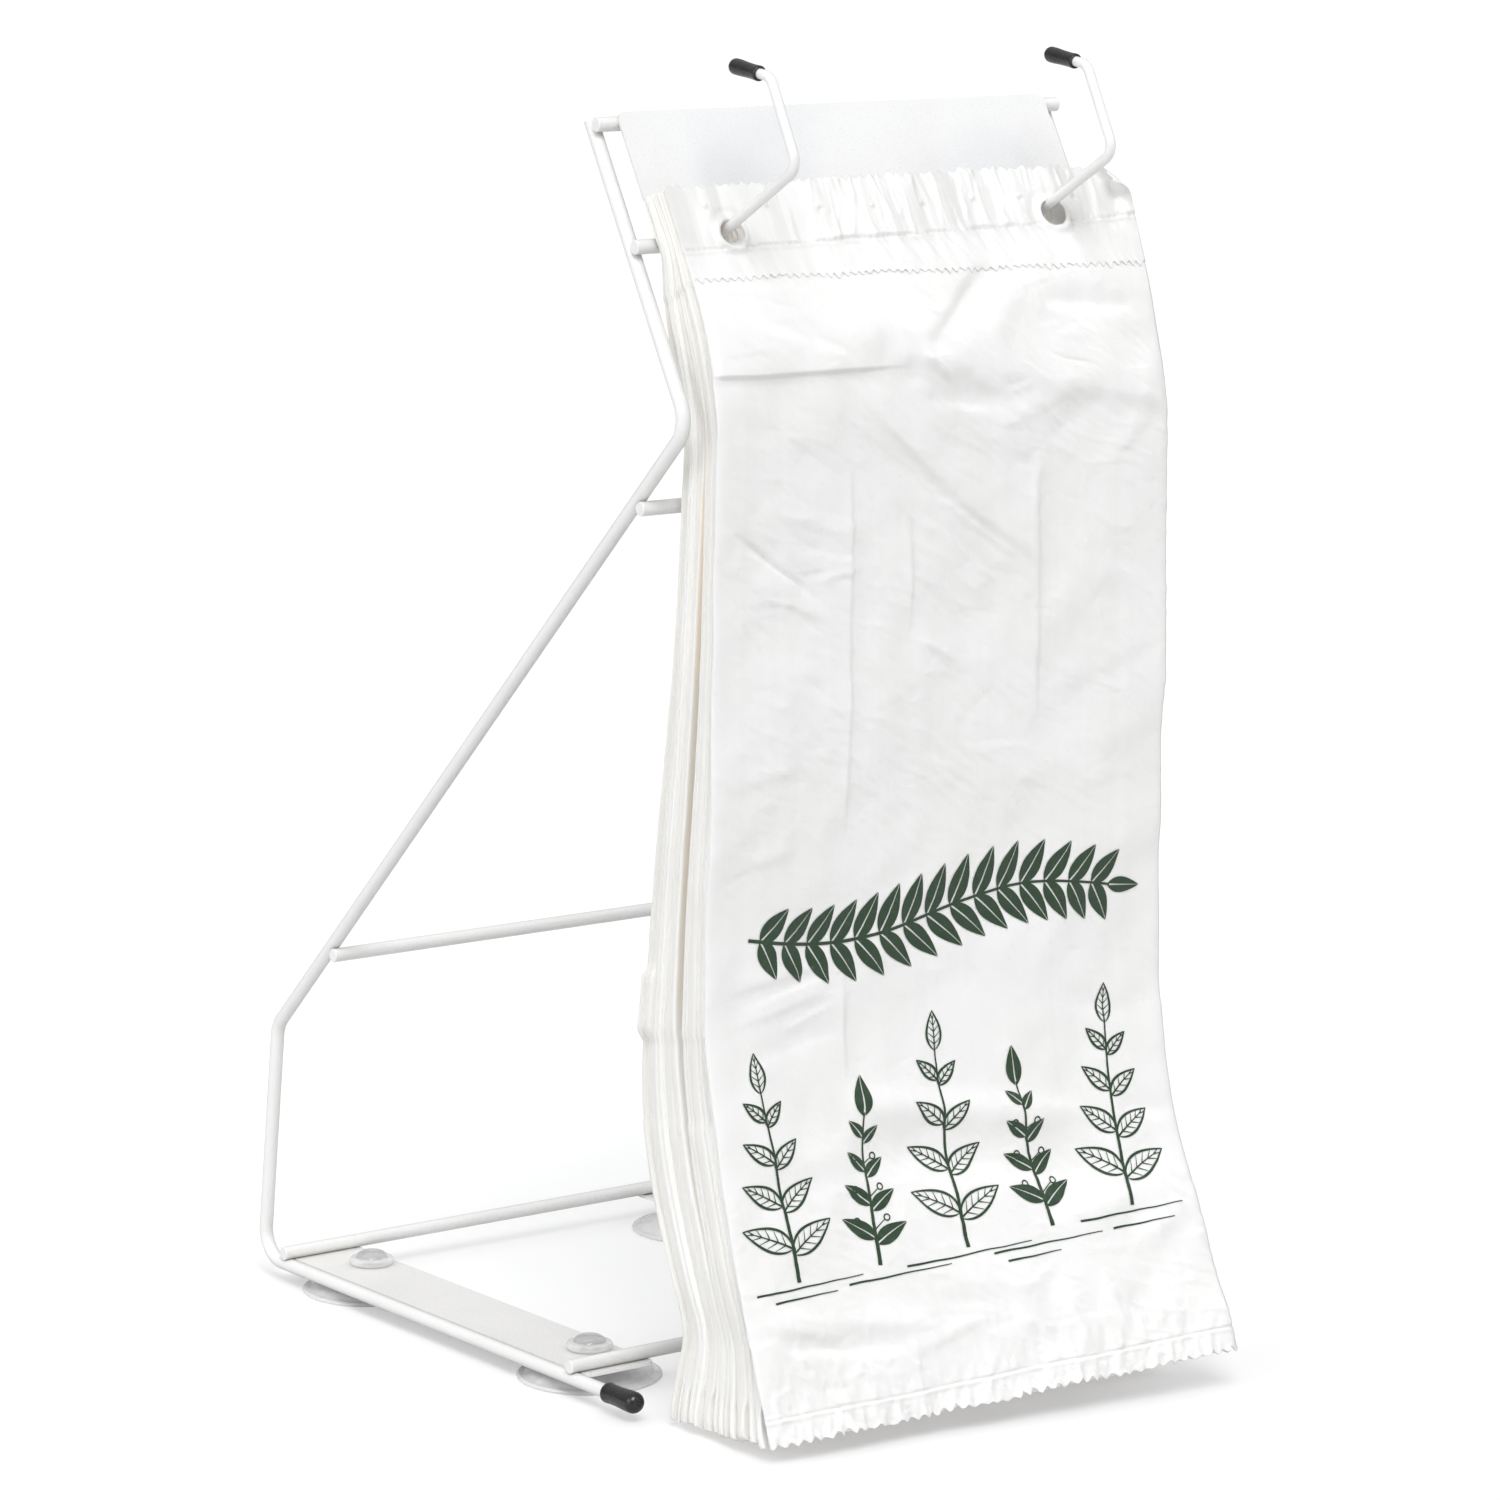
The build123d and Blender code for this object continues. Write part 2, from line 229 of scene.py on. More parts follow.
def clear_vinyl_material(name):
    """Clear soft vinyl: faint grey, cloudy, glossy, with painted shade on the dome of the head and
    a painted highlight at the turned-away edges, casting only a light shadow.
    """
    material, shader = new_material(name)
    haze = shader.noise(scale=85.0, detail=5.0, rough=0.6)
    flow = shader.noise(scale=210.0, detail=3.0, rough=0.5, distortion=0.6)
    normal = shader.bump(flow, distance=0.00020, strength=0.5)
    normal = shader.bump(haze, distance=0.0006, strength=0.3, over=normal)
    facing = shader.add("LayerWeight", {"Blend": 0.42, "Normal": normal}, "Facing")
    # painted shade on the dome of the head, in the colour `thick` and in what it lets through;
    # height is scaled up to spread over the ramp
    ramp_scale = 40.0
    dome_start = CUP_DOME_Z * MM_TO_M * ramp_scale
    height = shader.times(shader.part(shader.place, "Z"), ramp_scale)
    in_dome = shader.ramp(height, (dome_start - 0.012, 0.0), (dome_start + 0.012, 1.0))
    thick = shader.ramp(haze, (0.3, (0.28, 0.282, 0.29)), (0.75, (0.46, 0.462, 0.47)))
    thin = shader.ramp(haze, (0.3, (0.80, 0.80, 0.795)), (0.75, (0.90, 0.90, 0.895)))
    # painted highlight where the vinyl turns away from view; `lip` is its mask
    lip = shader.ramp(facing, (0.50, 0.0), (0.85, 1.0))
    colour = shader.mix(lip, shader.mix(in_dome, thin, thick), (0.92, 0.922, 0.925))
    body = shader.principled(
        Base_Color=colour, Roughness=shader.ramp(haze, (0.3, 0.06), (0.8, 0.20)),
        Specular_IOR_Level=0.75, Coat_Weight=0.9, Coat_Roughness=0.04, Normal=normal)
    glass = shader.mix(in_dome, (0.95, 0.95, 0.952), (0.86, 0.862, 0.866))
    clear = shader.add("BsdfTransparent", {"Color": glass})
    # more solid where it turns away and in the cloudy parts, less solid to shadow rays
    solid = shader.ramp(facing, (0.0, 0.40), (0.55, 0.58), (1.0, 0.94))
    cloudiness = shader.times(shader.math("SUBTRACT", haze, 0.5), 0.35)
    cloudy = shader.math("ADD", solid, cloudiness, clamp=True)
    shade = shader.times(shader.add("LightPath", output="Is Shadow Ray"), 0.62)
    cover = shader.times(cloudy, shader.math("SUBTRACT", 1.0, shade))
    shader.surface(shader.mix_shaders(cover, clear, body))
    return material


def add_pleat_shade(shader, colour):
    """Paints shade into the film in upright stripes near the top, where it is gathered in pleats.
    """
    pleat = shader.noise(scale=74.0, detail=1.5, rough=0.4, stretch=(1.0, 0.05, 0.05))
    tone = shader.ramp(pleat, (0.400, (0.84, 0.84, 0.835)), (0.425, (0.90, 0.90, 0.895)),
                       (0.47, (0.93, 0.93, 0.927)), (0.485, 1.0), (0.60, 1.0),
                       (0.615, (0.93, 0.93, 0.922)))
    height = shader.math("SUBTRACT", shader.part(shader.place, "Z"), 0.0)
    near_top = shader.ramp(height, (0.5110, 0.30), (0.5185, 0.95))
    return shader.tinted(near_top, colour, tone)


def add_group_tones(shader, colour):
    """Gives each folded group its own tone, and its sides fine lines like cut edges."""
    group = shader.add("Attribute", output="Fac", attribute_name="tone")
    tone = shader.ramp(group, (0.0, (0.90, 0.897, 0.888)), (0.35, (0.955, 0.943, 0.925)),
                       (0.6, 1.0), (1.0, (0.93, 0.93, 0.932)))
    colour = shader.tinted(1.0, colour, tone)
    true_normal = shader.add("NewGeometry", output="True Normal")
    sideways = shader.math("ABSOLUTE", shader.part(true_normal, "X"), 0.0)
    on_side = shader.ramp(sideways, (0.45, 0.0), (0.80, 1.0))
    lines = shader.noise(scale=950.0, detail=2.0, rough=0.6, stretch=(0.05, 1.0, 0.02))
    line_tone = shader.ramp(lines, (0.38, (0.90, 0.89, 0.87)), (0.52, 1.0))
    return shader.mix(shader.times(on_side, 0.38), colour, shader.tinted(1.0, colour, line_tone))


def add_gap_light(shader, occlusion, colour, glow_colour, strength):
    """Paints brown shade and a brown glow inside the open gap, standing in for the light that comes
    there only through the film.
    """
    inner = shader.add("Attribute", output="Fac", attribute_name="inner")
    deep = shader.ramp(occlusion, (0.0, 1.0), (0.42, 0.8), (0.62, 0.0))
    reach = shader.ramp(shader.part(shader.place, "Z"),
                        (0.176, 0.0), (0.196, 1.0), (0.46, 0.8), (0.50, 0.0))
    amount = shader.times(shader.times(deep, inner), reach)
    gap_shade_colour = shader.tinted(1.0, colour, (0.94, 0.86, 0.75))
    return (shader.mix(amount, colour, gap_shade_colour),
            shader.mix(amount, glow_colour, (0.74, 0.565, 0.38)),
            shader.math("ADD", strength, shader.times(amount, 0.03)))


def film_material(name, tint=(0.896, 0.902, 0.905), warm=0.0, crinkle=1.0, through=0.16,
                  coat=0.45, glow=0.30, pleat_shade=False, groups=False):
    """Thin white film: glossy, crinkled and streaked.

    `warm` takes blue out of the tint, `crinkle` scales the bumps, `through` is the share of
    light let through and `glow` the light gathered in the hollows.
    """
    material, shader = new_material(name)
    cloud = shader.noise(scale=16.0, detail=5.0, rough=0.55)
    colour = shader.ramp(cloud, (0.32, scaled(tint, (0.965, 0.965, 0.955 - warm))),
                         (0.68, scaled(tint, (1, 1, 1 - warm))))
    streak = shader.noise(scale=150.0, detail=3.0, rough=0.6, stretch=(1.0, 0.05, 0.015))
    streaks = shader.ramp(streak, (0.35, (0.935, 0.935, 0.93)), (0.65, 1.0))
    colour = shader.tinted(0.30, colour, streaks)
    # painted shade in upright stripes near the top
    if pleat_shade:
        colour = add_pleat_shade(shader, colour)
    if groups:
        colour = add_group_tones(shader, colour)
    # hollows glow a little, warmer the deeper they are
    occlusion = shader.occlusion(0.007)
    glow_colour = shader.ramp(occlusion, (0.0, (0.58, 0.50, 0.42)), (0.10, (0.60, 0.565, 0.52)),
                              (0.26, (0.66, 0.658, 0.65)))
    amount = shader.ramp(occlusion, (0.0, 0.58), (0.14, 0.50), (0.34, 0.26), (0.60, 0.0))
    strength = shader.times(amount, glow)
    if groups:
        colour, glow_colour, strength = add_gap_light(
            shader, occlusion, colour, glow_colour, strength)
    large = shader.noise(scale=60.0, detail=6.0, rough=0.62, distortion=1.6)
    small = shader.noise(scale=240.0, detail=4.0, rough=0.6, distortion=0.8)
    ridge = shader.ramp(large, (0.43, 0.0), (0.50, 1.0), (0.57, 0.0))
    normal = shader.bump(ridge, distance=0.00010 * crinkle, strength=0.35)
    normal = shader.bump(large, distance=0.00045 * crinkle, strength=0.35, over=normal)
    normal = shader.bump(small, distance=0.00009 * crinkle, strength=0.5, over=normal)
    body = shader.principled(
        Base_Color=colour, Emission_Color=glow_colour, Emission_Strength=strength,
        Roughness=shader.ramp(small, (0.3, 0.27), (0.7, 0.40)), Specular_IOR_Level=0.5,
        Coat_Weight=coat, Coat_Roughness=0.17, Normal=normal, Coat_Normal=normal)
    passing = shader.add("BsdfTranslucent", {"Color": (0.90, 0.90, 0.895), "Normal": normal})
    shader.surface(shader.mix_shaders(through, body, passing))
    return material


def ink_material(name):
    """Dark green ink with slightly broken cover and a dull sheen."""
    material, shader = new_material(name)
    cover = shader.noise(scale=420.0, detail=6.0, rough=0.75)
    colour = shader.ramp(cover, (0.30, (0.012, 0.034, 0.014)), (0.60, (0.020, 0.050, 0.022)),
                         (0.72, (0.07, 0.10, 0.07)), (0.80, (0.30, 0.34, 0.30)))
    shader.surface(shader.principled(
        Base_Color=colour, Roughness=shader.ramp(cover, (0.3, 0.34), (0.7, 0.5)),
        Normal=shader.bump(cover, distance=0.00003, strength=0.5)))
    return material


def floor_material(name):
    """Pale floor, brighter to the camera than to the light it bounces."""
    material, shader = new_material(name)
    cloud = shader.noise(scale=3.0, detail=4.0, rough=0.5)
    colour = shader.ramp(cloud, (0.3, 0.93), (0.7, 0.95))
    to_camera = shader.add("LightPath", output="Is Camera Ray")
    body = shader.principled(Base_Color=shader.mix(to_camera, 0.70, colour), Roughness=0.9,
                             Specular_IOR_Level=0.1)
    lit = shader.add("Emission", {"Color": colour})
    shader.surface(shader.mix_shaders(shader.times(to_camera, 0.42), body, lit))
    return material


# One white powder coat in three copies: the plate's copy is painted lighter against the shade it
# gets, and the wire's is painted darker as shade; the sheet's is darker and bluer.
WIRE_COAT = coat_material("powder_coat_wire", tint=(0.80, 0.80, 0.797), rough=(0.28, 0.42),
                          peel=0.00003)
SHEET_COAT = coat_material("powder_coat_sheet", tint=(0.765, 0.767, 0.77), rough=(0.34, 0.46),
                           peel=0.000012, patches=True)
PLATE_COAT = coat_material("powder_coat_plate", tint=(0.90, 0.90, 0.90), rough=(0.32, 0.44),
                           peel=0.000012)
BLACK_VINYL = black_vinyl_material("black_dipped_vinyl")
CLEAR_VINYL = clear_vinyl_material("clear_soft_vinyl")
FRONT_FILM = film_material("film_front")
HEADER_FILM = film_material("film_header", pleat_shade=True)
STACK_FILM = film_material("film_stack", tint=(0.870, 0.872, 0.868), warm=0.003, crinkle=0.4,
                           through=0.05, coat=0.2, glow=0.55, groups=True)
INK = ink_material("green_ink")


def material_for(name):
    if name.startswith(("side_wire", "hook_left", "hook_right")) or name.endswith("crossbar"):
        return WIRE_COAT
    if name.startswith("header_panel"):
        return SHEET_COAT
    if name.startswith("base_plate"):
        return PLATE_COAT
    if "cap" in name:
        return BLACK_VINYL
    if name.startswith("suction_cup"):
        return CLEAR_VINYL
    return FRONT_FILM


for name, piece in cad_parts.items():
    piece.data.materials.clear()
    piece.data.materials.append(material_for(name))

# ---------------------------------------------------------------------------
# the hanging lines of the bags, in millimetres
# ---------------------------------------------------------------------------
# the sloping line that the header follows, as (y, z)
SLOPE_TOP = np.array((-135.4, 566.2))
SLOPE_FOOT = np.array((-205.3, 442.0))
SLOPE_UP = (SLOPE_TOP - SLOPE_FOOT) / np.linalg.norm(SLOPE_TOP - SLOPE_FOOT)
SLOPE_FORWARD = np.array((-SLOPE_UP[1], SLOPE_UP[0]))
HEADER_ALONG = np.array([-41.5, -50.0, -58.0, -66.0])     # header stations, from SLOPE_TOP
HEADER_STATION_OUT = 18.0                                 # their distance off the slope

# hanging lines below the header, as (y, z): the rear of the pack, and the front bag at its
# left and right edges
REAR_LINE = np.array([
    (-180.6, 492.0), (-183.2, 468.0), (-186.0, 438.0), (-184.6, 408.0), (-180.5, 360.0),
    (-176.0, 322.0), (-162.3, 232.0), (-157.6, 196.0), (-153.6, 166.0), (-154.4, 132.0),
    (-161.5, 100.0), (-171.0, 76.0), (-180.5, 45.0), (-177.0, 18.0), (-176.5, 1.6)])
LEFT_LINE = np.array([
    (-195.3, 501.5), (-206.2, 478.0), (-211.8, 448.0), (-212.2, 408.0), (-211.0, 360.0),
    (-210.3, 322.0), (-205.4, 246.0), (-203.8, 205.0), (-204.6, 175.0), (-210.6, 140.0),
    (-219.0, 108.0), (-226.8, 82.0), (-236.6, 50.0), (-246.0, 20.0), (-252.5, 6.0)])
RIGHT_LINE = np.array([
    (-207.5, 501.0), (-218.0, 474.0), (-224.8, 440.0), (-225.8, 408.0), (-225.8, 360.0),
    (-225.6, 322.0), (-223.8, 246.0), (-223.8, 205.0), (-224.8, 175.0), (-231.5, 140.0),
    (-243.0, 108.0), (-255.0, 82.0), (-267.0, 52.0), (-277.0, 30.0), (-283.0, 17.0)])
# how far the pack stands open at each of those stations
PACK_OPENING = np.array([0.0, 0.0, 0.1, 0.4, 0.8, 1, 1, 1.0, 0.9, 0.8, 0.6, 0.3, 0.1, 0, 0])

LEFT_X, RIGHT_X = -113.0, 124.0
STACK_RIGHT_X = 119.0
HOOK_X = 85.6
HOLE_DOWN = 23.6
HOLE_RADIUS = 5.7
HOLE_LIFT = 0.35          # the holes sit this much high, so that the hooks pass clear of the rim
SEAM_DOWN = 29.5
MOUTH_DOWN = 44.0
HEADER_LENGTH = 43.0


def slope_points(along, out):
    """(y, z) at `along` the slope from its top and `out` in front of it."""
    return np.stack([SLOPE_TOP[i] + along * SLOPE_UP[i] + out * SLOPE_FORWARD[i]
                     for i in range(2)], -1)


def path_lengths(points):
    steps = np.linalg.norm(np.diff(points, axis=0), axis=1)
    return np.concatenate([[0.0], np.cumsum(steps)])


KNOTS = path_lengths(np.concatenate([slope_points(HEADER_ALONG, HEADER_STATION_OUT), LEFT_LINE]))
FILM_LENGTH = float(KNOTS[-1])
SEAL_DOWN = FILM_LENGTH - 13.6


def unit(vectors):
    return vectors / (np.linalg.norm(vectors, axis=-1, keepdims=True) + 1e-12)


def ease(low, high, value):
    """Rises smoothly from 0 at low to 1 at high."""
    share = np.clip((value - low) / (high - low), 0, 1)
    return share * share * (3 - 2 * share)


def bell(offset, width):
    return np.exp(-((offset / width) ** 2))


def hermite(knots, points, stations):
    """A smooth curve read at each station (J).

    points is one curve (K, 2), or one for each station (K, J, 2).
    """
    gaps = np.diff(knots).reshape((-1,) + (1,) * (points.ndim - 1))
    steps = np.diff(points, axis=0) / gaps
    slopes = np.empty_like(points)
    slopes[0], slopes[-1] = steps[0], steps[-1]
    slopes[1:-1] = (steps[:-1] * gaps[1:] + steps[1:] * gaps[:-1]) / (gaps[:-1] + gaps[1:])
    below = np.clip(np.searchsorted(knots, stations, side="right") - 1, 0, len(knots) - 2)
    span = (knots[below + 1] - knots[below])[:, None]
    t = (stations - knots[below])[:, None] / span

    def pick(values, k):
        return values[k] if values.ndim == 2 else values[k, np.arange(len(stations))]

    t_2, t_3 = t * t, t * t * t
    return ((2 * t_3 - 3 * t_2 + 1) * pick(points, below)
            + (t_3 - 2 * t_2 + t) * span * pick(slopes, below)
            + (-2 * t_3 + 3 * t_2) * pick(points, below + 1)
            + (t_3 - t_2) * span * pick(slopes, below + 1))


# ---------------------------------------------------------------------------
# repeatable noise
# ---------------------------------------------------------------------------
noise_random = np.random.default_rng(20488)
GRADIENTS = noise_random.normal(size=(256, 2))
GRADIENTS /= np.linalg.norm(GRADIENTS, axis=1)[:, None]
SHUFFLED = noise_random.permutation(256)


def shuffled(column, row):
    return SHUFFLED[(SHUFFLED[column & 255] + row) & 255]


def perlin(x, y=0.0, seed=0):
    """Gradient noise, about -0.7 to 0.7, with cells of size 1."""
    x = np.asarray(x, float) + 1000.0 + seed * 17.31
    y = np.asarray(y, float) + 1000.0 + seed * 9.73
    column, row = np.floor(x).astype(int), np.floor(y).astype(int)
    x, y = x - column, y - row

    def blend(value):
        return value * value * value * (value * (value * 6 - 15) + 10)

    def corner(i, j):
        gradient = GRADIENTS[shuffled(column + i, row + j)]
        return gradient[..., 0] * (x - i) + gradient[..., 1] * (y - j)

    def side(j):
        start = corner(0, j)
        return start + (corner(1, j) - start) * blend(x)

    return side(0) * (1 - blend(y)) + side(1) * blend(y)


def two_octaves(x, y, seed):
    return perlin(x, y, seed) + 0.5 * perlin(x * 2.03, y * 2.03, seed + 31)


def ridged(x, y, seed, octaves):
    """Noise with narrow crests."""
    total, height, scale = 0.0, 1.0, 1.0
    for k in range(octaves):
        crest = 1.0 - np.abs(perlin(x * scale, y * scale, seed + 57 * k)) * 2.6
        total = total + height * np.clip(crest, 0, 1) ** 3
        height *= 0.5
        scale *= 2.1
    return total


def cell_distances(x, y, seed):
    """Distances to the nearest and second nearest of scattered points, one to a cell."""
    x, y = x + 500.0, y + 500.0
    column, row = np.floor(x).astype(int), np.floor(y).astype(int)
    nearest = np.full(x.shape, 9.0)
    second = np.full(x.shape, 9.0)
    for i in (-1, 0, 1):
        for j in (-1, 0, 1):
            across = shuffled(column + i + seed * 7, row + j)
            along = SHUFFLED[(across + 91) & 255]
            distance = np.hypot(column + i + 0.15 + 0.7 * across / 255.0 - x,
                                row + j + 0.15 + 0.7 * along / 255.0 - y)
            second = np.where(distance < nearest, nearest, np.minimum(second, distance))
            nearest = np.minimum(nearest, distance)
    return nearest, second


# ---------------------------------------------------------------------------
# folds and creases of the front film, all as (x, down)
# ---------------------------------------------------------------------------


def line_offsets(x, down, start_x, start_down, end_x, end_down):
    """Share of the way along a segment, and distance to its side."""
    length = math.hypot(end_x - start_x, end_down - start_down)
    dir_x, dir_down = (end_x - start_x) / length, (end_down - start_down) / length
    along = ((x - start_x) * dir_x + (down - start_down) * dir_down) / length
    return along, -(x - start_x) * dir_down + (down - start_down) * dir_x


def soft_fold(x, down, ends, width, height, lean):
    """A soft ridge; lean narrows one flank and widens the other."""
    along, side = line_offsets(x, down, *ends)
    fade = ease(-0.15, 0.3, along) * (1 - ease(0.7, 1.15, along))
    return height * fade * bell(side, np.where(side > 0, width / lean, width * lean))


def sharp_crease(x, down, ends, width, height, step):
    """A pointed ridge; step lifts one side of it."""
    along, side = line_offsets(x, down, *ends)
    near = (np.abs(side) < width * 5) & (along > -0.1) & (along < 1.1)
    along, side = along[near], side[near]
    fade = ease(0.0, 0.35, along) * (1 - ease(0.65, 1.0, along))
    profile = np.exp(-np.abs(side) / width * 1.4) * np.where(side > 0, 1.0, 0.55)
    profile = profile + step * np.tanh(side / width) * bell(side, width * 3.0)
    relief = np.zeros_like(x)
    relief[near] = height * fade * profile
    return relief


def ledge(x, down, line, above, below, height, fade_left, fade_right):
    """A ridge across the film along `line`, `above` and `below` being its two widths."""
    line_x, line_down = zip(*line)
    offset = down - np.interp(x, line_x, line_down)
    fade = (ease(line_x[0] - fade_left, line_x[0] + 1e-3, x)
            * (1 - ease(line_x[-1] - fade_right, line_x[-1] + fade_right, x)))
    return height * fade * np.where(offset < 0, bell(offset, above), bell(offset, below))


# start x, start down, end x, end down, width, height, lean
SOFT_FOLDS = [
    (-8, 80, 8, 91, 2.6, 1.3, 1.6), (-6, 98, 34, 101, 5.0, -2.1, 1.2),
    (-14, 92, -2, 97, 3.0, 1.3, 1.0), (18, 90, 34, 96, 3.0, 1.4, 1.2),
    (34, 110, 78, 92, 6.0, 1.9, 1.2), (60, 118, 92, 96, 6.0, -1.6, 1.2),
    (92, 132, 112, 104, 5.0, 1.3, 1.2), (40, 124, 58, 150, 5.0, -1.4, 1.3),
    (55, 120, 50, 172, 4.0, 1.2, 1.4), (-40, 95, 14, 147, 5.0, 2.2, 1.7),
    (8, 142, 58, 179, 4.5, 2.0, 1.8), (-30, 122, 6, 148, 5.0, -1.3, 1.2),
    (0, 112, 34, 138, 9.0, -1.2, 1.2), (40, 45, 18, 62, 5.0, -2.3, 1.2),
    (22, 60, -2, 79, 5.5, -2.0, 1.2), (52, 50, 30, 76, 6.0, 1.4, 1.2),
    (-28, 46, -31, 80, 6.0, 1.3, 1.0), (62, 60, 120, 64, 4.5, -1.3, 1.2),
    (58, 50, 62, 66, 3.0, 0.9, 1.0), (-88, 62, -40, 80, 4.5, -0.8, 1.3),
    (-100, 48, -60, 52, 4.0, 0.6, 1.2), (-106, 93, -50, 127, 4.5, 1.1, 1.5),
    (-92, 104, -44, 134, 6.0, -0.7, 1.2), (-108, 150, -55, 188, 3.2, -1.3, 1.6),
    (-102, 170, -54, 193, 4.0, 1.6, 1.6), (-76, 148, -42, 158, 3.0, 0.9, 1.3),
    (-78, 157, -44, 168, 2.6, -0.7, 1.3), (-60, 176, -38, 172, 2.2, 1.0, 1.2),
    (-18, 176, -6, 190, 2.4, 1.0, 1.2), (-6, 206, 22, 222, 3.0, 0.8, 1.3),
    (14, 180, 34, 196, 4.0, 1.0, 1.3), (-104, 214, -50, 216, 5.0, 0.6, 1.2),
    (-104, 262, -66, 256, 4.0, 0.7, 1.3), (-106, 300, -70, 292, 4.0, 0.7, 1.3),
    (70, 178, 116, 196, 6.0, 0.8, 1.3), (66, 232, 116, 214, 6.0, 0.7, 1.2),
    (20, 262, 90, 276, 7.0, 0.6, 1.2), (-104, 352, -48, 344, 4.0, 1.0, 1.4),
    (-100, 368, -52, 356, 3.5, 0.9, 1.4), (-96, 384, -44, 374, 4.5, -0.8, 1.3),
    (60, 372, 112, 384, 6.0, -1.0, 1.2), (96, 424, 120, 430, 5.0, -1.5, 1.2),
    (-104, 424, -50, 432, 7.0, 0.9, 1.3), (-96, 446, -40, 436, 6.0, -0.8, 1.3),
    (-106, 494, -62, 508, 6.0, 1.9, 1.4), (-100, 506, -40, 514, 5.0, -2.0, 1.3),
    (-70, 498, -22, 508, 5.0, 1.4, 1.3), (-40, 520, 4, 508, 4.0, 1.1, 1.3),
    (-20, 488, 40, 496, 8.0, 1.2, 1.2), (40, 470, 112, 462, 8.0, 1.4, 1.2),
    (84, 486, 118, 470, 6.0, 1.4, 1.2), (20, 508, 24, 534, 3.5, 1.3, 1.0),
    (32, 504, 38, 534, 3.0, -1.2, 1.0), (44, 500, 50, 534, 3.5, 1.5, 1.0),
    (56, 502, 62, 534, 3.0, -1.1, 1.0), (66, 498, 72, 530, 3.5, 1.2, 1.0),
    (80, 504, 84, 534, 3.0, -1.0, 1.0), (94, 498, 98, 532, 3.5, 1.1, 1.0),
]
# start x, start down, end x, end down, width, height, step
PLACED_CREASES = [
    (-15, 133, 52, 179, 1.3, 1.0, 0.5), (-6, 140, 46, 176, 1.0, 0.7, 0.4),
    (-9, 151, 40, 189, 1.3, 1.0, 0.5), (2, 152, 44, 180, 1.0, 0.6, 0.3),
    (-38, 98, -6, 128, 1.2, 0.6, 0.4), (-9, 79, 8, 90, 1.0, 0.9, 0.5),
    (34, 98, 52, 92, 1.2, 0.9, 0.4), (-108, 149, -56, 187, 1.2, -0.9, 0.5),
    (-104, 158, -66, 180, 1.0, 0.6, 0.4), (-100, 174, -56, 194, 1.3, 0.9, 0.5),
    (-48, 150, -40, 156, 1.0, 0.9, 0.3), (-52, 170, -40, 166, 1.0, 0.9, 0.3),
    (-10, 204, 12, 216, 1.0, 0.6, 0.3), (0, 212, 20, 224, 1.0, 0.6, 0.3),
    (60, 82, 86, 87, 1.2, -0.6, 0.4), (-92, 360, -46, 350, 1.1, 0.8, 0.5),
    (-78, 372, -44, 362, 1.1, 0.7, 0.5), (-82, 530, -66, 547, 1.3, -1.2, 0.5),
    (-44, 540, -40, 549, 1.2, -1.0, 0.5), (-48, 512, -30, 528, 1.2, 0.8, 0.4),
    (-66, 526, -60, 514, 1.2, 0.8, 0.4),
]
# scattered creases: count, range of down, range of angle in degrees, height
CREASE_ZONES = [
    (70, (92, 265), (-10, 50), 0.36), (34, (52, 92), (-30, 40), 0.42),
    (40, (265, 430), (-25, 30), 0.34), (60, (435, 530), (-30, 40), 0.55),
    (34, (505, 535), (60, 115), 0.60),
]
# upright pressed folds: x, from down, to down
PRESSED_FOLDS = [(-43.8, 130.0, 292.0), (-13.0, 158.0, 205.0), (54.6, 138.0, 250.0),
                 (-43.0, 352.0, 400.0)]
# pin marks in the header: x, down
PINS = [(-95.0, 9.7), (-63.8, 11.0), (-37.0, 13.4), (-8.7, 14.6), (18.2, 14.9), (45.0, 14.9),
        (71.5, 14.4), (98.0, 13.8)]


def scattered_creases():
    random = np.random.default_rng(515)
    creases = []
    for count, downs, angles, zone_height in CREASE_ZONES:
        for _ in range(count):
            x, down = random.uniform(LEFT_X + 2, RIGHT_X - 2), random.uniform(*downs)
            angle = math.radians(random.uniform(*angles))
            length = random.uniform(7, 30)
            half_x, half_down = length / 2 * math.cos(angle), length / 2 * math.sin(angle)
            width = random.uniform(0.8, 1.8)
            height = random.uniform(0.4, 1.0) * zone_height * random.choice((-1, 1, 1))
            creases.append((x - half_x, down - half_down, x + half_x, down + half_down,
                            width, height, random.uniform(0.1, 0.6)))
    return creases


CREASES = PLACED_CREASES + scattered_creases()


def seam_at(x):
    """How far down the header's seam lies; it rises at the right and wavers."""
    return (30.2 - 0.008 * (x + 110.0) - 4.2 * np.clip((x - 62.0) / 60.0, 0, 1) ** 1.5
            + 0.5 * perlin(x / 14.0, seed=17) + 0.3 * perlin(x / 4.0, seed=19))


def mouth_at(x):
    """How far down the mouth edge lies."""
    return HEADER_LENGTH + 0.011 * (x - LEFT_X) + 0.9 * perlin(x / 26.0, seed=97)


# ---------------------------------------------------------------------------
# relief of the front film: each function gives its height towards the viewer, in millimetres
# ---------------------------------------------------------------------------


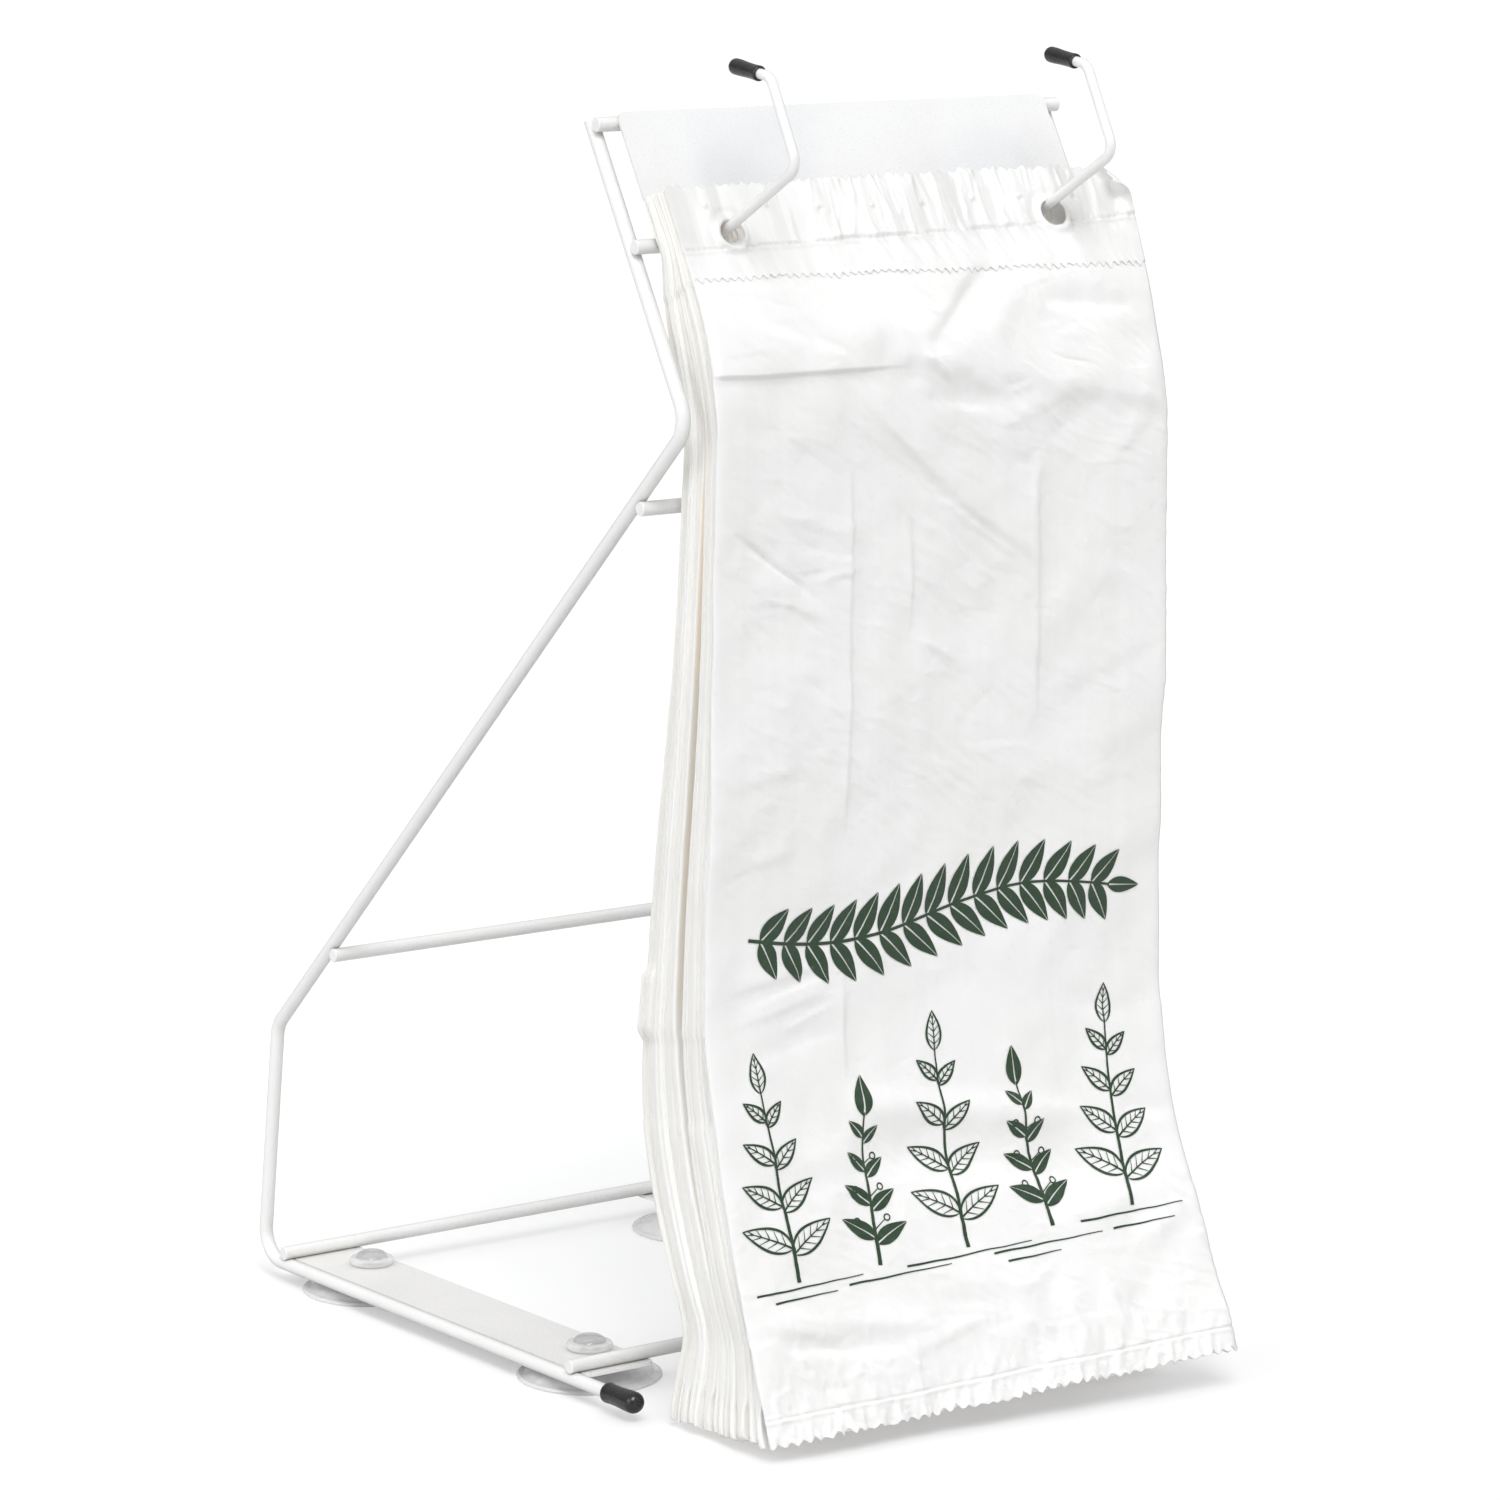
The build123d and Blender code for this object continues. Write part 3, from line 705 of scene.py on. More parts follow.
def header_pleats(x, down):
    """Upright pleats, strongest at the cut edge and the seam, and quiet around the holes."""
    seam = seam_at(x)
    pleats = 2.5 * perlin(x / 14.0, down / 60.0, 3)
    bent = 0.4 * perlin(down / 9.0, x / 30.0, 9)
    pleats += 1.2 * perlin(x / 7.6 + bent, down / 34.0, 5)
    pleats += 0.40 * perlin(x / 3.4, down / 14.0, 7)
    crests = ridged(x / 11.0, down / 46.0, seed=211, octaves=2)
    to_hook = np.hypot(np.abs(x) - HOOK_X, down - HOLE_DOWN)
    quiet = 0.15 + 0.85 * ease(7.0, 16.0, to_hook)
    busy = 0.35 + 0.65 * ease(-60, -30, x) * (1 - 0.5 * ease(96, 112, x))
    puff = 0.55 + 0.75 * np.exp(-down / 6.0) + 0.65 * np.exp(-np.clip(seam - down, 0, 60) / 5.0)
    above_seam = 1 - ease(seam - 1.5, seam + 0.5, down)
    return above_seam * quiet * busy * (1.05 * pleats * puff + 0.75 * crests)


def mouth_pleats(x, down):
    """Pleats that fan out of the seam and fade below the mouth edge."""
    seam, mouth = seam_at(x), mouth_at(x)
    past = down - seam
    band = ease(seam - 0.5, seam + 1.2, down) * (1 - ease(mouth + 2, mouth + 22, down))
    pleats = (1.2 * perlin((x + past * 0.3) / 7.0, down / 34.0, 11)
              + 0.9 * perlin((x - past * 0.4) / 3.4, down / 18.0, 13))
    fan = 0.35 + 0.95 * np.exp(-np.clip(past, 0, None) / 7.0)
    return band * pleats * fan * (0.35 + 0.65 * ease(-55, -5, x))


def seam_relief(x, down):
    """A pressed, perforated line, raised just below, left out at the holes."""
    past = down - seam_at(x)
    wave = np.sin(x * 2 * np.pi / 3.1 + 2.5 * perlin(x / 9.0, seed=18))
    dash = 0.55 + 0.45 * np.sign(wave)
    off_hole = ease(HOLE_RADIUS + 0.4, HOLE_RADIUS + 3.0,
                    np.hypot(np.abs(x) - HOOK_X, down - HOLE_DOWN))
    return off_hole * (0.35 * bell(past - 1.3, 0.9) - (0.25 + 0.65 * dash) * bell(past, 0.5))


def pin_relief(x, down):
    """Small pimples, each with a dimple below."""
    relief = np.zeros_like(x)
    for pin_x, pin_down in PINS:
        relief += 1.0 * bell(np.hypot(x - pin_x, (down - pin_down) * 0.9), 0.95)
        relief -= 0.55 * bell(np.hypot(x - pin_x, down - pin_down - 2.0), 1.1)
    return relief


def hole_rims(x, down):
    """Uneven raised rims around the two holes, with a shallow ring outside."""
    relief = np.zeros_like(x)
    for hook_x in (-HOOK_X, HOOK_X):
        past = np.hypot(x - hook_x, down - HOLE_DOWN) - HOLE_RADIUS
        uneven = 1.0 + 0.25 * np.sin(3 * np.arctan2(down - HOLE_DOWN, x - hook_x) + hook_x)
        relief += 1.15 * uneven * bell(past - 1.3, 1.3) - 0.5 * bell(past - 4.6, 1.8)
    return relief


def knee_ledges(x, down):
    """The film stands out over a crease below the header: sharp at left, soft at right."""
    inside = ease(LEFT_X - 1, LEFT_X + 4, x)
    left = [(-113, 85.6), (-92, 86.2), (-25, 84.6)]
    right = [(-14, 80), (15, 84), (55, 90), (118, 99)]
    return (inside * ledge(x, down, left, above=32.0, below=1.1, height=2.3,
                           fade_left=10.0, fade_right=15.0)
            - inside * ledge(x, down - 5.0, left, above=1.6, below=6.0, height=0.45,
                             fade_left=10.0, fade_right=12.0)
            + ledge(x, down, right, above=17.0, below=7.0, height=3.4,
                    fade_left=14.0, fade_right=10.0))


def body_crinkles(x, down):
    """Long swells, facets and crossing crinkles, most in the upper half and near the bottom."""
    swells = (2.4 * two_octaves(x / 95.0, down / 120.0, 23)
              + 1.7 * two_octaves((x + down * 0.6) / 42.0, (down - x * 0.3) / 60.0, 29))
    upper = ease(84, 104, down) * (1 - ease(240, 330, down))
    lower = ease(425, 470, down)
    bent_x = x + 6 * perlin(x / 30.0, down / 30.0, 37)
    bent_down = down + 6 * perlin(x / 30.0, down / 30.0, 41)
    # large facets
    nearest, second = cell_distances((bent_x * 0.85 + bent_down * 0.5) / 34.0,
                                     (bent_down * 0.85 - bent_x * 0.5) / 22.0, seed=1)
    large = 0.85 * nearest - 0.30 * np.exp(-(second - nearest) / 0.09)
    # small facets
    nearest, second = cell_distances((bent_x + bent_down * 0.2) / 15.0,
                                     (bent_down - bent_x * 0.3) / 9.0, seed=2)
    small = 0.7 * nearest - 0.25 * np.exp(-(second - nearest) / 0.12)
    crests = ridged((bent_x * 0.8 + bent_down * 0.6) / 36.0,
                    (bent_down * 0.8 - bent_x * 0.6) / 13.0, seed=43, octaves=3) - 0.5
    return (swells + (0.35 + 0.75 * upper + 0.9 * lower) * large
            + (0.10 + 0.16 * upper + 0.32 * lower) * small
            + (0.2 + 0.35 * upper + 0.3 * lower) * 0.7 * crests)


def table_folds(x, down):
    """The soft folds and creases of the tables, set slightly crooked."""
    relief = np.zeros_like(x)
    bent_x = x + 2.0 * perlin(x / 18.0, down / 18.0, 59)
    for *ends, width, height, lean in SOFT_FOLDS:
        if 90 <= ends[1] <= 200:
            height *= 0.74          # gentler in the upper body
        relief += soft_fold(bent_x, down, ends, width, height, lean)
    bent_x = x + 1.4 * perlin(x / 12.0, down / 12.0, 63)
    bent_down = down + 1.4 * perlin(x / 12.0, down / 12.0, 65)
    for *ends, width, height, step in CREASES:
        relief += sharp_crease(bent_x, bent_down, ends, width, height, step)
    return relief


def lower_swell(x, down):
    """A swell across the lower print and a hollow under it."""
    across = ease(-50, -36, x) * (1 - ease(60, 82, x))
    past = down - 414.0 - 0.16 * (x + 41.0)
    return across * 2.4 * (bell(past + 6.0, 7.5) - bell(past - 15.0, 11.0))


def pressed_folds(x, down):
    """Upright folds: a crest, and a step in level across it."""
    relief = np.zeros_like(x)
    for fold_x, start, end in PRESSED_FOLDS:
        fade = ease(start - 10, start + 15, down) * (1 - ease(end - 25, end + 5, down))
        offset = x - fold_x - 0.8 * perlin(down / 60.0, seed=int(fold_x) + 200)
        relief += fade * (0.8 * np.exp(-np.abs(offset) / 1.2)
                          + 0.75 * np.tanh(-offset / 1.2) * bell(offset, 11.0))
    return relief


def bottom_seal(x, down):
    """The pressed seal line near the bottom and the puckers it makes."""
    past = down - (SEAL_DOWN + 0.9 * perlin(x / 30.0, seed=61))
    line = 0.40 * bell(past - 1.4, 0.9) - 0.75 * bell(past, 0.5)
    puckers = (perlin(x / 8.5, down / 70.0, 67)
               + 0.6 * perlin((x + past * 0.4) / 3.9, down / 30.0, 71)
               + 0.5 * (ridged(x / 9.0, down / 80.0, seed=75, octaves=2) - 0.3))
    below = ease(-0.5, 2.5, past)
    above = (1 - ease(-1, 1, past)) * np.exp(np.clip(past, -80, 0) / 11.0)
    wave = below * 1.9 * perlin(x / 26.0, seed=73) * np.clip(past / 14.0, 0, 1)
    return line + wave + puckers * (
        below * (1.25 + 0.13 * np.clip(past, 0, 16)) + 1.7 * above)


def front_relief(x, down):
    mouth = mouth_at(x)
    below_mouth = ease(mouth, mouth + 30, down)
    # the film is drawn in along both side edges
    drawn_in = 1.5 * (np.exp(-(x - LEFT_X) / 2.2) + np.exp(-(RIGHT_X - x) / 2.2))
    relief = below_mouth * (body_crinkles(x, down) - drawn_in)
    for layer in (header_pleats, mouth_pleats, seam_relief, pin_relief, hole_rims, knee_ledges,
                  table_folds, lower_swell, pressed_folds, bottom_seal):
        relief += layer(x, down)
    return relief


def front_controls(x):
    """Control points (K, J, 2) of the front bag's hanging line at each x (J)."""
    across = np.clip((x - LEFT_X) / (RIGHT_X - LEFT_X), 0, 1)
    right_share = (across ** 1.25)[:, None]
    # the right part of the header hangs forward and droops
    flap = np.clip((x - 62.0) / 62.0, 0, 1) ** 1.6
    out = 20.4 + 4.0 * across + 9.5 * flap
    header = [slope_points(along - 7.5 * flap, out) for along in HEADER_ALONG]
    body = [left * (1 - right_share) + right * right_share
            for left, right in zip(LEFT_LINE, RIGHT_LINE)]
    return np.stack(header + body, 0)


def front_at(x, down, lift):
    """Points of the front film at (x, down), raised by lift; x and down share any shape."""
    shape = x.shape + (3,)
    x, down = x.ravel(), down.ravel()
    controls = front_controls(x)

    def line(stations):
        return hermite(KNOTS, controls, np.clip(stations, 0, FILM_LENGTH))

    tangent = unit(line(down + 0.6) - line(down - 0.6))
    base = hermite(KNOTS, controls, down)
    height = front_relief(x, down) + np.ravel(lift)
    return np.stack([x, base[:, 0] + tangent[:, 1] * height,
                     base[:, 1] - tangent[:, 0] * height], -1).reshape(shape)


# ---------------------------------------------------------------------------
# mesh helpers
# ---------------------------------------------------------------------------


def smooth_all(mesh):
    mesh.polygons.foreach_set("use_smooth", np.ones(len(mesh.polygons), dtype=bool))


def mesh_object(name, points, faces, material, sharp_degrees=None):
    """A smooth object from points (n, 3) in millimetres and quads (m, 4)."""
    points = np.ascontiguousarray(np.asarray(points, float) * MM_TO_M, dtype=np.float32)
    faces = np.asarray(faces, dtype=np.int32)
    mesh = bpy.data.meshes.new(name)
    mesh.vertices.add(len(points))
    mesh.vertices.foreach_set("co", points.ravel())
    mesh.loops.add(faces.size)
    mesh.loops.foreach_set("vertex_index", faces.ravel())
    mesh.polygons.add(len(faces))
    starts = np.arange(len(faces), dtype=np.int32) * faces.shape[1]
    mesh.polygons.foreach_set("loop_start", starts)
    mesh.update(calc_edges=True)
    mesh.validate()
    mesh.materials.append(material)
    smooth_all(mesh)
    if sharp_degrees is not None:
        mesh.set_sharp_from_angle(angle=math.radians(sharp_degrees))
    mesh.update()
    made = bpy.data.objects.new(name, mesh)
    bpy.context.scene.collection.objects.link(made)
    return made


def grid_faces(rows, columns, keep=None):
    """Quads of a grid; with keep, only those whose four corners are kept."""
    j, i = np.meshgrid(np.arange(rows - 1), np.arange(columns - 1), indexing="ij")
    first = (j * columns + i).ravel()
    faces = np.stack([first, first + columns, first + columns + 1, first + 1], -1)
    if keep is not None:
        faces = faces[(keep[:-1, :-1] & keep[1:, :-1] & keep[1:, 1:] & keep[:-1, 1:]).ravel()]
    return faces


def close_sheet(front, back, faces):
    """Joins a front and a back grid of the same layout into one closed shell."""
    used = np.unique(faces)
    renumber = -np.ones(len(front), int)
    renumber[used] = np.arange(len(used))
    front, back, faces = front[used], back[used], renumber[faces]
    count = len(front)
    start = faces.ravel()
    end = np.roll(faces, -1, axis=1).ravel()
    rim = ~np.isin(start * count + end, end * count + start)
    start, end = start[rim], end[rim]
    sides = np.stack([end, start, start + count, end + count], -1)
    return np.concatenate([front, back]), np.concatenate([faces, faces[:, ::-1] + count, sides])


def film_object(name, points, material, keep=None):
    """A film 0.14 mm thick behind a grid of points (rows, columns, 3)."""
    normals = unit(np.cross(np.gradient(points, axis=1), np.gradient(points, axis=0)))
    if normals[..., 1].mean() > 0:
        normals = -normals
    front = points.reshape(-1, 3)
    back = front - normals.reshape(-1, 3) * 0.14
    shell = close_sheet(front, back, grid_faces(*points.shape[:2], keep))
    return mesh_object(name, *shell, material)


def cut_holes(x, down, centres, radius):
    """Which grid points to keep around round holes, and where their x and down go.

    Points just inside a hole that touch one outside are moved onto its rim.
    """
    rows, columns = x.shape
    keep = np.ones(x.shape, bool)
    new_x, new_down = x.copy(), down.copy()
    for centre_x, centre_down in centres:
        distance = np.hypot(x - centre_x, down - centre_down)
        outside = distance >= radius
        padded = np.pad(outside, 1)
        touching = np.zeros_like(outside)
        for j in range(3):
            for i in range(3):
                touching |= padded[j:j + rows, i:i + columns]
        ring = ~outside & touching
        distance = np.maximum(distance, 1e-6)
        new_x = np.where(ring, centre_x + (x - centre_x) / distance * radius, new_x)
        new_down = np.where(ring, centre_down + (down - centre_down) / distance * radius,
                            new_down)
        keep &= outside | ring
    return keep, new_x, new_down


def axis_samples(low, high, step, dense=(), dense_step=0.5):
    """Samples from low to high, finer inside the (start, end) spans of dense."""
    samples = [low]
    while samples[-1] < high - 1e-9:
        x = samples[-1]
        stride = step
        for start, end in dense:
            if start <= x < end:
                stride = min(stride, dense_step)
            elif x < start:
                stride = min(stride, max(start - x, dense_step))
        samples.append(min(x + stride, high))
    # a sliver at the end is joined to its neighbour
    if len(samples) > 2 and samples[-1] - samples[-2] < min(0.3 * step, 0.2):
        samples.pop(-2)
    return np.array(samples)


def zigzag(x, pitch, depth, seed):
    """A pinked edge with teeth of uneven size."""
    shifted = x + 0.6 * perlin(x / 11.0, seed=83 + seed)
    shifted = shifted + 0.20 * pitch * perlin(x / (1.7 * pitch), 0.7, 93 + seed)
    tooth = 1 - np.abs(2 * ((shifted / pitch) % 1.0) - 1)
    size = (0.62 + 0.75 * (perlin(x / 16.0, 0.3, 89 + seed) + 0.5)
            + 0.8 * perlin(x / (1.3 * pitch), 0.9, 95 + seed))
    return depth * tooth * np.clip(size, 0.15, 1.5)


# ---------------------------------------------------------------------------
# front bag: header film with its holes, front film below the mouth, and rear film
# ---------------------------------------------------------------------------
FILM_STEP = by_mode(1.15)
HEADER_STEP = by_mode(0.62)
REAR_STEP = FILM_STEP * 2.2


def corner_curl(points, x, down):
    """Rolls the header's upper right corner forward into a small loop."""
    across, up = 0.80, 0.60                 # direction of the roll over the film
    radius, turn = 3.5, 5.4                 # millimetres, radians
    reach = np.clip((x - 113.5) * across + (9.0 - down) * up, 0, None)
    tightened = radius - 0.05 * reach
    angle = np.clip(reach / radius, 0, turn)
    back = tightened * np.sin(angle) - np.minimum(reach, radius * turn)
    forward = tightened * (1 - np.cos(angle))
    return (points + back[..., None] * np.array((across, *(SLOPE_UP * up)))
            + forward[..., None] * np.array((0.0, *SLOPE_FORWARD)))


def build_header_film():
    x, down = np.meshgrid(axis_samples(LEFT_X, RIGHT_X, HEADER_STEP),
                          axis_samples(0.0, HEADER_LENGTH, HEADER_STEP))
    # the lower rows follow the mouth edge, the upper ones the ragged top edge
    low_edge = mouth_at(x) + zigzag(x, pitch=4.1, depth=2.3, seed=2)
    ragged = zigzag(x, pitch=4.8, depth=2.0, seed=1) + np.clip(
        1.6 * perlin(x / 9.0, seed=401) + 1.1 * perlin(x / 2.3, seed=403), -0.6, 2.4)
    cut = (down + (low_edge - HEADER_LENGTH) * ease(31, HEADER_LENGTH, down)
           + ragged * (1 - ease(0, 8, down)))
    # the free lower edge stands off in places
    loose = 0.10 + 0.75 * np.clip(perlin(x / 13.0, seed=223) + 0.12, 0, 1)
    lift = 0.20 + loose * ease(36, HEADER_LENGTH, down)
    holes = [(hook_x, HOLE_DOWN - HOLE_LIFT) for hook_x in (-HOOK_X, HOOK_X)]
    keep, x, down = cut_holes(x, cut, holes, HOLE_RADIUS + 0.15)
    points = corner_curl(front_at(x, down, lift), x, down)
    return film_object("front_bag_header_film", points, HEADER_FILM, keep)


def build_front_film():
    dense = [(80, 92), (FILM_LENGTH - 17, FILM_LENGTH)]     # the knee and the bottom seal
    rows = axis_samples(36.0, FILM_LENGTH, FILM_STEP, dense, by_mode(0.5))
    x, down = np.meshgrid(axis_samples(LEFT_X, RIGHT_X, FILM_STEP), rows)
    bottom = zigzag(x, pitch=5.6, depth=2.5, seed=3) - 1.4 * perlin(x / 34.0, seed=101) + 1.2
    shortened = np.clip(bottom, 0, None) * ease(FILM_LENGTH - 12, FILM_LENGTH, down)
    lift = -0.12 + 0.22 * ease(44, 52, down)
    points = front_at(x, np.minimum(down - shortened, FILM_LENGTH), lift)
    return film_object("front_bag_front_film", points, FRONT_FILM)


def build_rear_film():
    """The film a little behind the front one, seen at the edges."""
    end = FILM_LENGTH - 1.5
    rows = np.linspace(MOUTH_DOWN + 2.5, end, int((FILM_LENGTH - MOUTH_DOWN) / REAR_STEP))
    x, down = np.meshgrid(axis_samples(LEFT_X + 0.3, RIGHT_X - 0.3, REAR_STEP), rows)
    down = down - (zigzag(x, pitch=5.6, depth=2.4, seed=4)
                   * ease(FILM_LENGTH - 10, end, down))
    inset = np.minimum(x - LEFT_X, RIGHT_X - x)
    gap = 0.6 + (1.6 * ease(0, 14, inset) * ease(MOUTH_DOWN + 8, MOUTH_DOWN + 40, down)
                 * (1 - ease(FILM_LENGTH - 40, FILM_LENGTH - 16, down)))
    return film_object("front_bag_rear_film", front_at(x, down, -gap), FRONT_FILM)


header_film = build_header_film()
front_film = build_front_film()
rear_film = build_rear_film()

# ---------------------------------------------------------------------------
# the pack behind the front bag: bundles, some made of two groups of folded bags
# ---------------------------------------------------------------------------
BUNDLES = 8
SPLIT_BUNDLES = (0, 2, 4, 5, 7)
HEADER_REAR_OUT, HEADER_DEPTH = 11.4, 8.2       # the pack's header in front of the slope

# depth runs from 0 at the rear of the pack to 1 at the front; out is the header's distance
# in front of the slope
Group = namedtuple("Group", "bundle rear_depth front_depth rear_out front_out")


def bundle_depth(i):
    return 0.93 * (i / BUNDLES) ** 1.15


GAP_DEPTH = bundle_depth(5)        # the pack parts here, between two bundles


def pack_groups():
    random = np.random.default_rng(77)
    groups = []
    for i in range(BUNDLES):
        cuts = [0.0, random.uniform(0.25, 0.72), 1.0] if i in SPLIT_BUNDLES else [0.0, 1.0]
        rear, front = bundle_depth(i), bundle_depth(i + 1)
        for start, end in zip(cuts[:-1], cuts[1:]):
            groups.append(Group(i, rear + (front - rear) * start, rear + (front - rear) * end,
                                HEADER_REAR_OUT + HEADER_DEPTH * (i + start) / BUNDLES,
                                HEADER_REAR_OUT + HEADER_DEPTH * (i + end) / BUNDLES))
    return groups


GROUPS = pack_groups()


def at_gap(depth):
    return abs(depth - GAP_DEPTH) < 1e-6


def pack_line(depth, out, down, gap_side):
    """(y, z) of the pack's hanging line; gap_side is the way it moves if it is at the gap."""
    line = REAR_LINE * (1 - depth) + LEFT_LINE * depth
    side = gap_side if at_gap(depth) else math.copysign(1.0, depth - GAP_DEPTH)
    line[:, 0] -= 2.5 * side * math.exp(-abs(depth - GAP_DEPTH) / 0.17) * PACK_OPENING
    return hermite(KNOTS, np.concatenate([slope_points(HEADER_ALONG, out), line]), down)


def group_grid(left, right, at_end):
    """Columns and rows of a group, closest at its edges, holes, seams and bottom."""
    step = by_mode(2.2) if at_end else by_mode(4.0)
    edge = np.array([0.0, 0.06, 0.22, 0.5, 0.9, 1.45, 2.2])
    dense = [(left, left + 10), (right - 10, right)]
    dense += [(hook_x - 7.5, hook_x + 7.5) for hook_x in (-HOOK_X, HOOK_X)]
    columns = axis_samples(left + 3.2, right - 3.2, step, dense, 1.25)
    dense = [(0, 2), (HOLE_DOWN - 7, HOLE_DOWN + 7), (SEAM_DOWN - 2, SEAM_DOWN + 3), (41, 49),
             (FILM_LENGTH - 17, FILM_LENGTH)]
    rows = axis_samples(0.0, FILM_LENGTH, step if at_end else by_mode(3.2), dense,
                        by_mode(1.0))
    return np.concatenate([left + edge, columns, (right - edge)[::-1]]), rows


def build_group(k):
    """Points and faces of one flat, round-edged group. The random draws keep their order."""
    group = GROUPS[k]
    first, last = k == 0, k == len(GROUPS) - 1
    random = np.random.default_rng(900 + k)
    left = LEFT_X + random.uniform(-0.8, 1.6)
    right = STACK_RIGHT_X - random.uniform(0.0, 2.4)
    if group.bundle < 2:
        left += 1.0
    columns, rows = group_grid(left, right, first or last)
    x, down = np.meshgrid(columns, rows)
    rear_line = pack_line(group.rear_depth, group.rear_out, rows, 1)
    front_line = pack_line(group.front_depth, group.front_out, rows, -1)
    middle = (rear_line + front_line) / 2
    tangent = unit(np.gradient(middle, axis=0))
    normal = np.stack([tangent[:, 1], -tangent[:, 0]], -1)

    # half thickness: the room between neighbours, pinched at the header and the bottom seal
    room = np.abs(((front_line - rear_line) * normal).sum(1)) / 2
    from_left, from_right = np.clip(x - left, 0, None), np.clip(right - x, 0, None)
    edge_radius = 0.8 + 0.9 * random.uniform(0, 1)
    inset = np.clip(np.minimum(from_left, from_right) / edge_radius, 0, 1)
    rounding = np.sqrt(np.clip(1 - (1 - inset) ** 2, 0, 1))
    full = 0.985 * (1 - 0.10 * np.clip(perlin(down / 55.0, x / 400.0, 300 + k), -1, 1) ** 2)
    pinch = 1 - 0.22 * bell(down - seam_at(x), 1.5) - 0.20 * bell(down - mouth_at(x) - 2, 1.6)
    tail = 1 - 0.42 * ease(FILM_LENGTH - 21, FILM_LENGTH - 13.5, down)
    half = room[:, None] * full * pinch * tail
    for fold_down in (371.0, 409.0):
        half = half * (1 - 0.14 * bell(down - fold_down - 3 * random.uniform(-1, 1), 1.8))
    half = np.maximum(np.maximum(half, 0.10) * (0.34 + 0.66 * rounding), 0.03)

    # waves shared by the neighbours, so that they stay nested, and puckers of its own
    loose = ease(MOUTH_DOWN, MOUTH_DOWN + 90, down)
    wave = loose * (1.3 * two_octaves(x / 80.0, down / 110.0, 131))
    wave += (1 - ease(SEAM_DOWN, MOUTH_DOWN + 10, down)) * 0.5 * (
        perlin(x / 9.0, down / 40.0, 3) + 0.7 * perlin(x / 4.6, down / 26.0, 5))
    puckers = (perlin(x / 7.5, down / 60.0, 151 + k)
               + 0.6 * perlin(x / 3.6, down / 40.0, 157 + k))
    wave += puckers * ease(-10, 2, down - SEAL_DOWN) * min(1.3, 0.6 + float(room[-1]))

    # the outline: it wanders, the rear groups step out low down, all flare at the seal
    sway = (0.8 * perlin(down / 70.0, k * 0.31, 163)
            + 0.35 * perlin(down / 17.0, k * 0.7, 167))
    step = 0.0
    if group.front_depth < 0.20:
        step = -(2.8 * ease(338, 342, down) * (1 - ease(366, 372, down)))
    flare = 2.6 * bell(down - 508, 22.0) - 2.2 * ease(528, 546, down)
    notch = 0.8 * ease(370, 372, down) - 0.8 * ease(408, 410, down) * random.uniform(0.2, 1.4)
    order = group.bundle / (BUNDLES - 1.0)
    header_in = (0.9 * ease(MOUTH_DOWN - 1.0, MOUTH_DOWN + 2.0, down)
                 - random.uniform(0, 1) * (1 - ease(0, 26, down)))
    narrowing = 5.6 * (1 - order) ** 0.8 + 0.8 * random.uniform(-1, 1)
    header_in = header_in - narrowing * (1 - ease(46, 112, down))
    upper_in = 1.2 * bell(down - 110, 30.0) * (0.4 + 0.6 * group.rear_depth)
    left_shift = sway + step + flare + notch * loose + header_in + upper_in
    right_shift = (-0.8 * perlin(down / 66.0, k * 0.43, 173)) - flare * 0.6 - header_in * 0.5
    outline_x = (x + np.exp(-from_left / 13.0) * left_shift
                 + np.exp(-from_right / 13.0) * right_shift)

    # pinked top and bottom edges, and holes that shrink towards the rear
    rise = random.uniform(-0.8, 2.2)
    cut = down + (zigzag(x, pitch=5.0, depth=1.7, seed=5 + k) + rise) * (1 - ease(0, 7, down))
    short = zigzag(x, pitch=5.8, depth=2.4, seed=9 + k) + random.uniform(0, 2.4)
    cut = cut - short * ease(FILM_LENGTH - 10, FILM_LENGTH, down)
    header_order = (0.5 * (group.rear_out + group.front_out) - HEADER_REAR_OUT) / HEADER_DEPTH
    radius = 3.7 + 1.8 * header_order + 0.15 * random.uniform(-1, 1)
    holes = [(hook_x + random.uniform(-0.3, 0.5), 17.2 + radius)
             for hook_x in (-HOOK_X, HOOK_X)]
    keep, cut_x, cut_down = cut_holes(x, cut, holes, radius)
    centre = (middle[:, None, :] + normal[:, None, :] * wave[..., None]
              + (cut_down - down)[..., None] * tangent[:, None, :])

    # the two outer faces of the pack take some of the front film's relief
    front_extra = back_extra = 0.0
    if first or last:
        relief = 0.55 * front_relief(x, np.clip(down + 9, 0, FILM_LENGTH)) * loose * rounding
        relief = relief * (1 - ease(FILM_LENGTH - 30, FILM_LENGTH - 20, down))
        if last:
            front_extra = np.clip(relief, -2.0, 0.6)
        else:
            back_extra = np.clip(relief, -1.6, 0.8)
    sides = []
    for offset in (half + front_extra, -(half + back_extra)):
        side = centre + normal[:, None, :] * offset[..., None]
        sides.append(np.stack([outline_x + (cut_x - x), side[..., 0],
                               np.maximum(side[..., 1], 0.4)], -1).reshape(-1, 3))
    return close_sheet(*sides, grid_faces(*x.shape, keep))


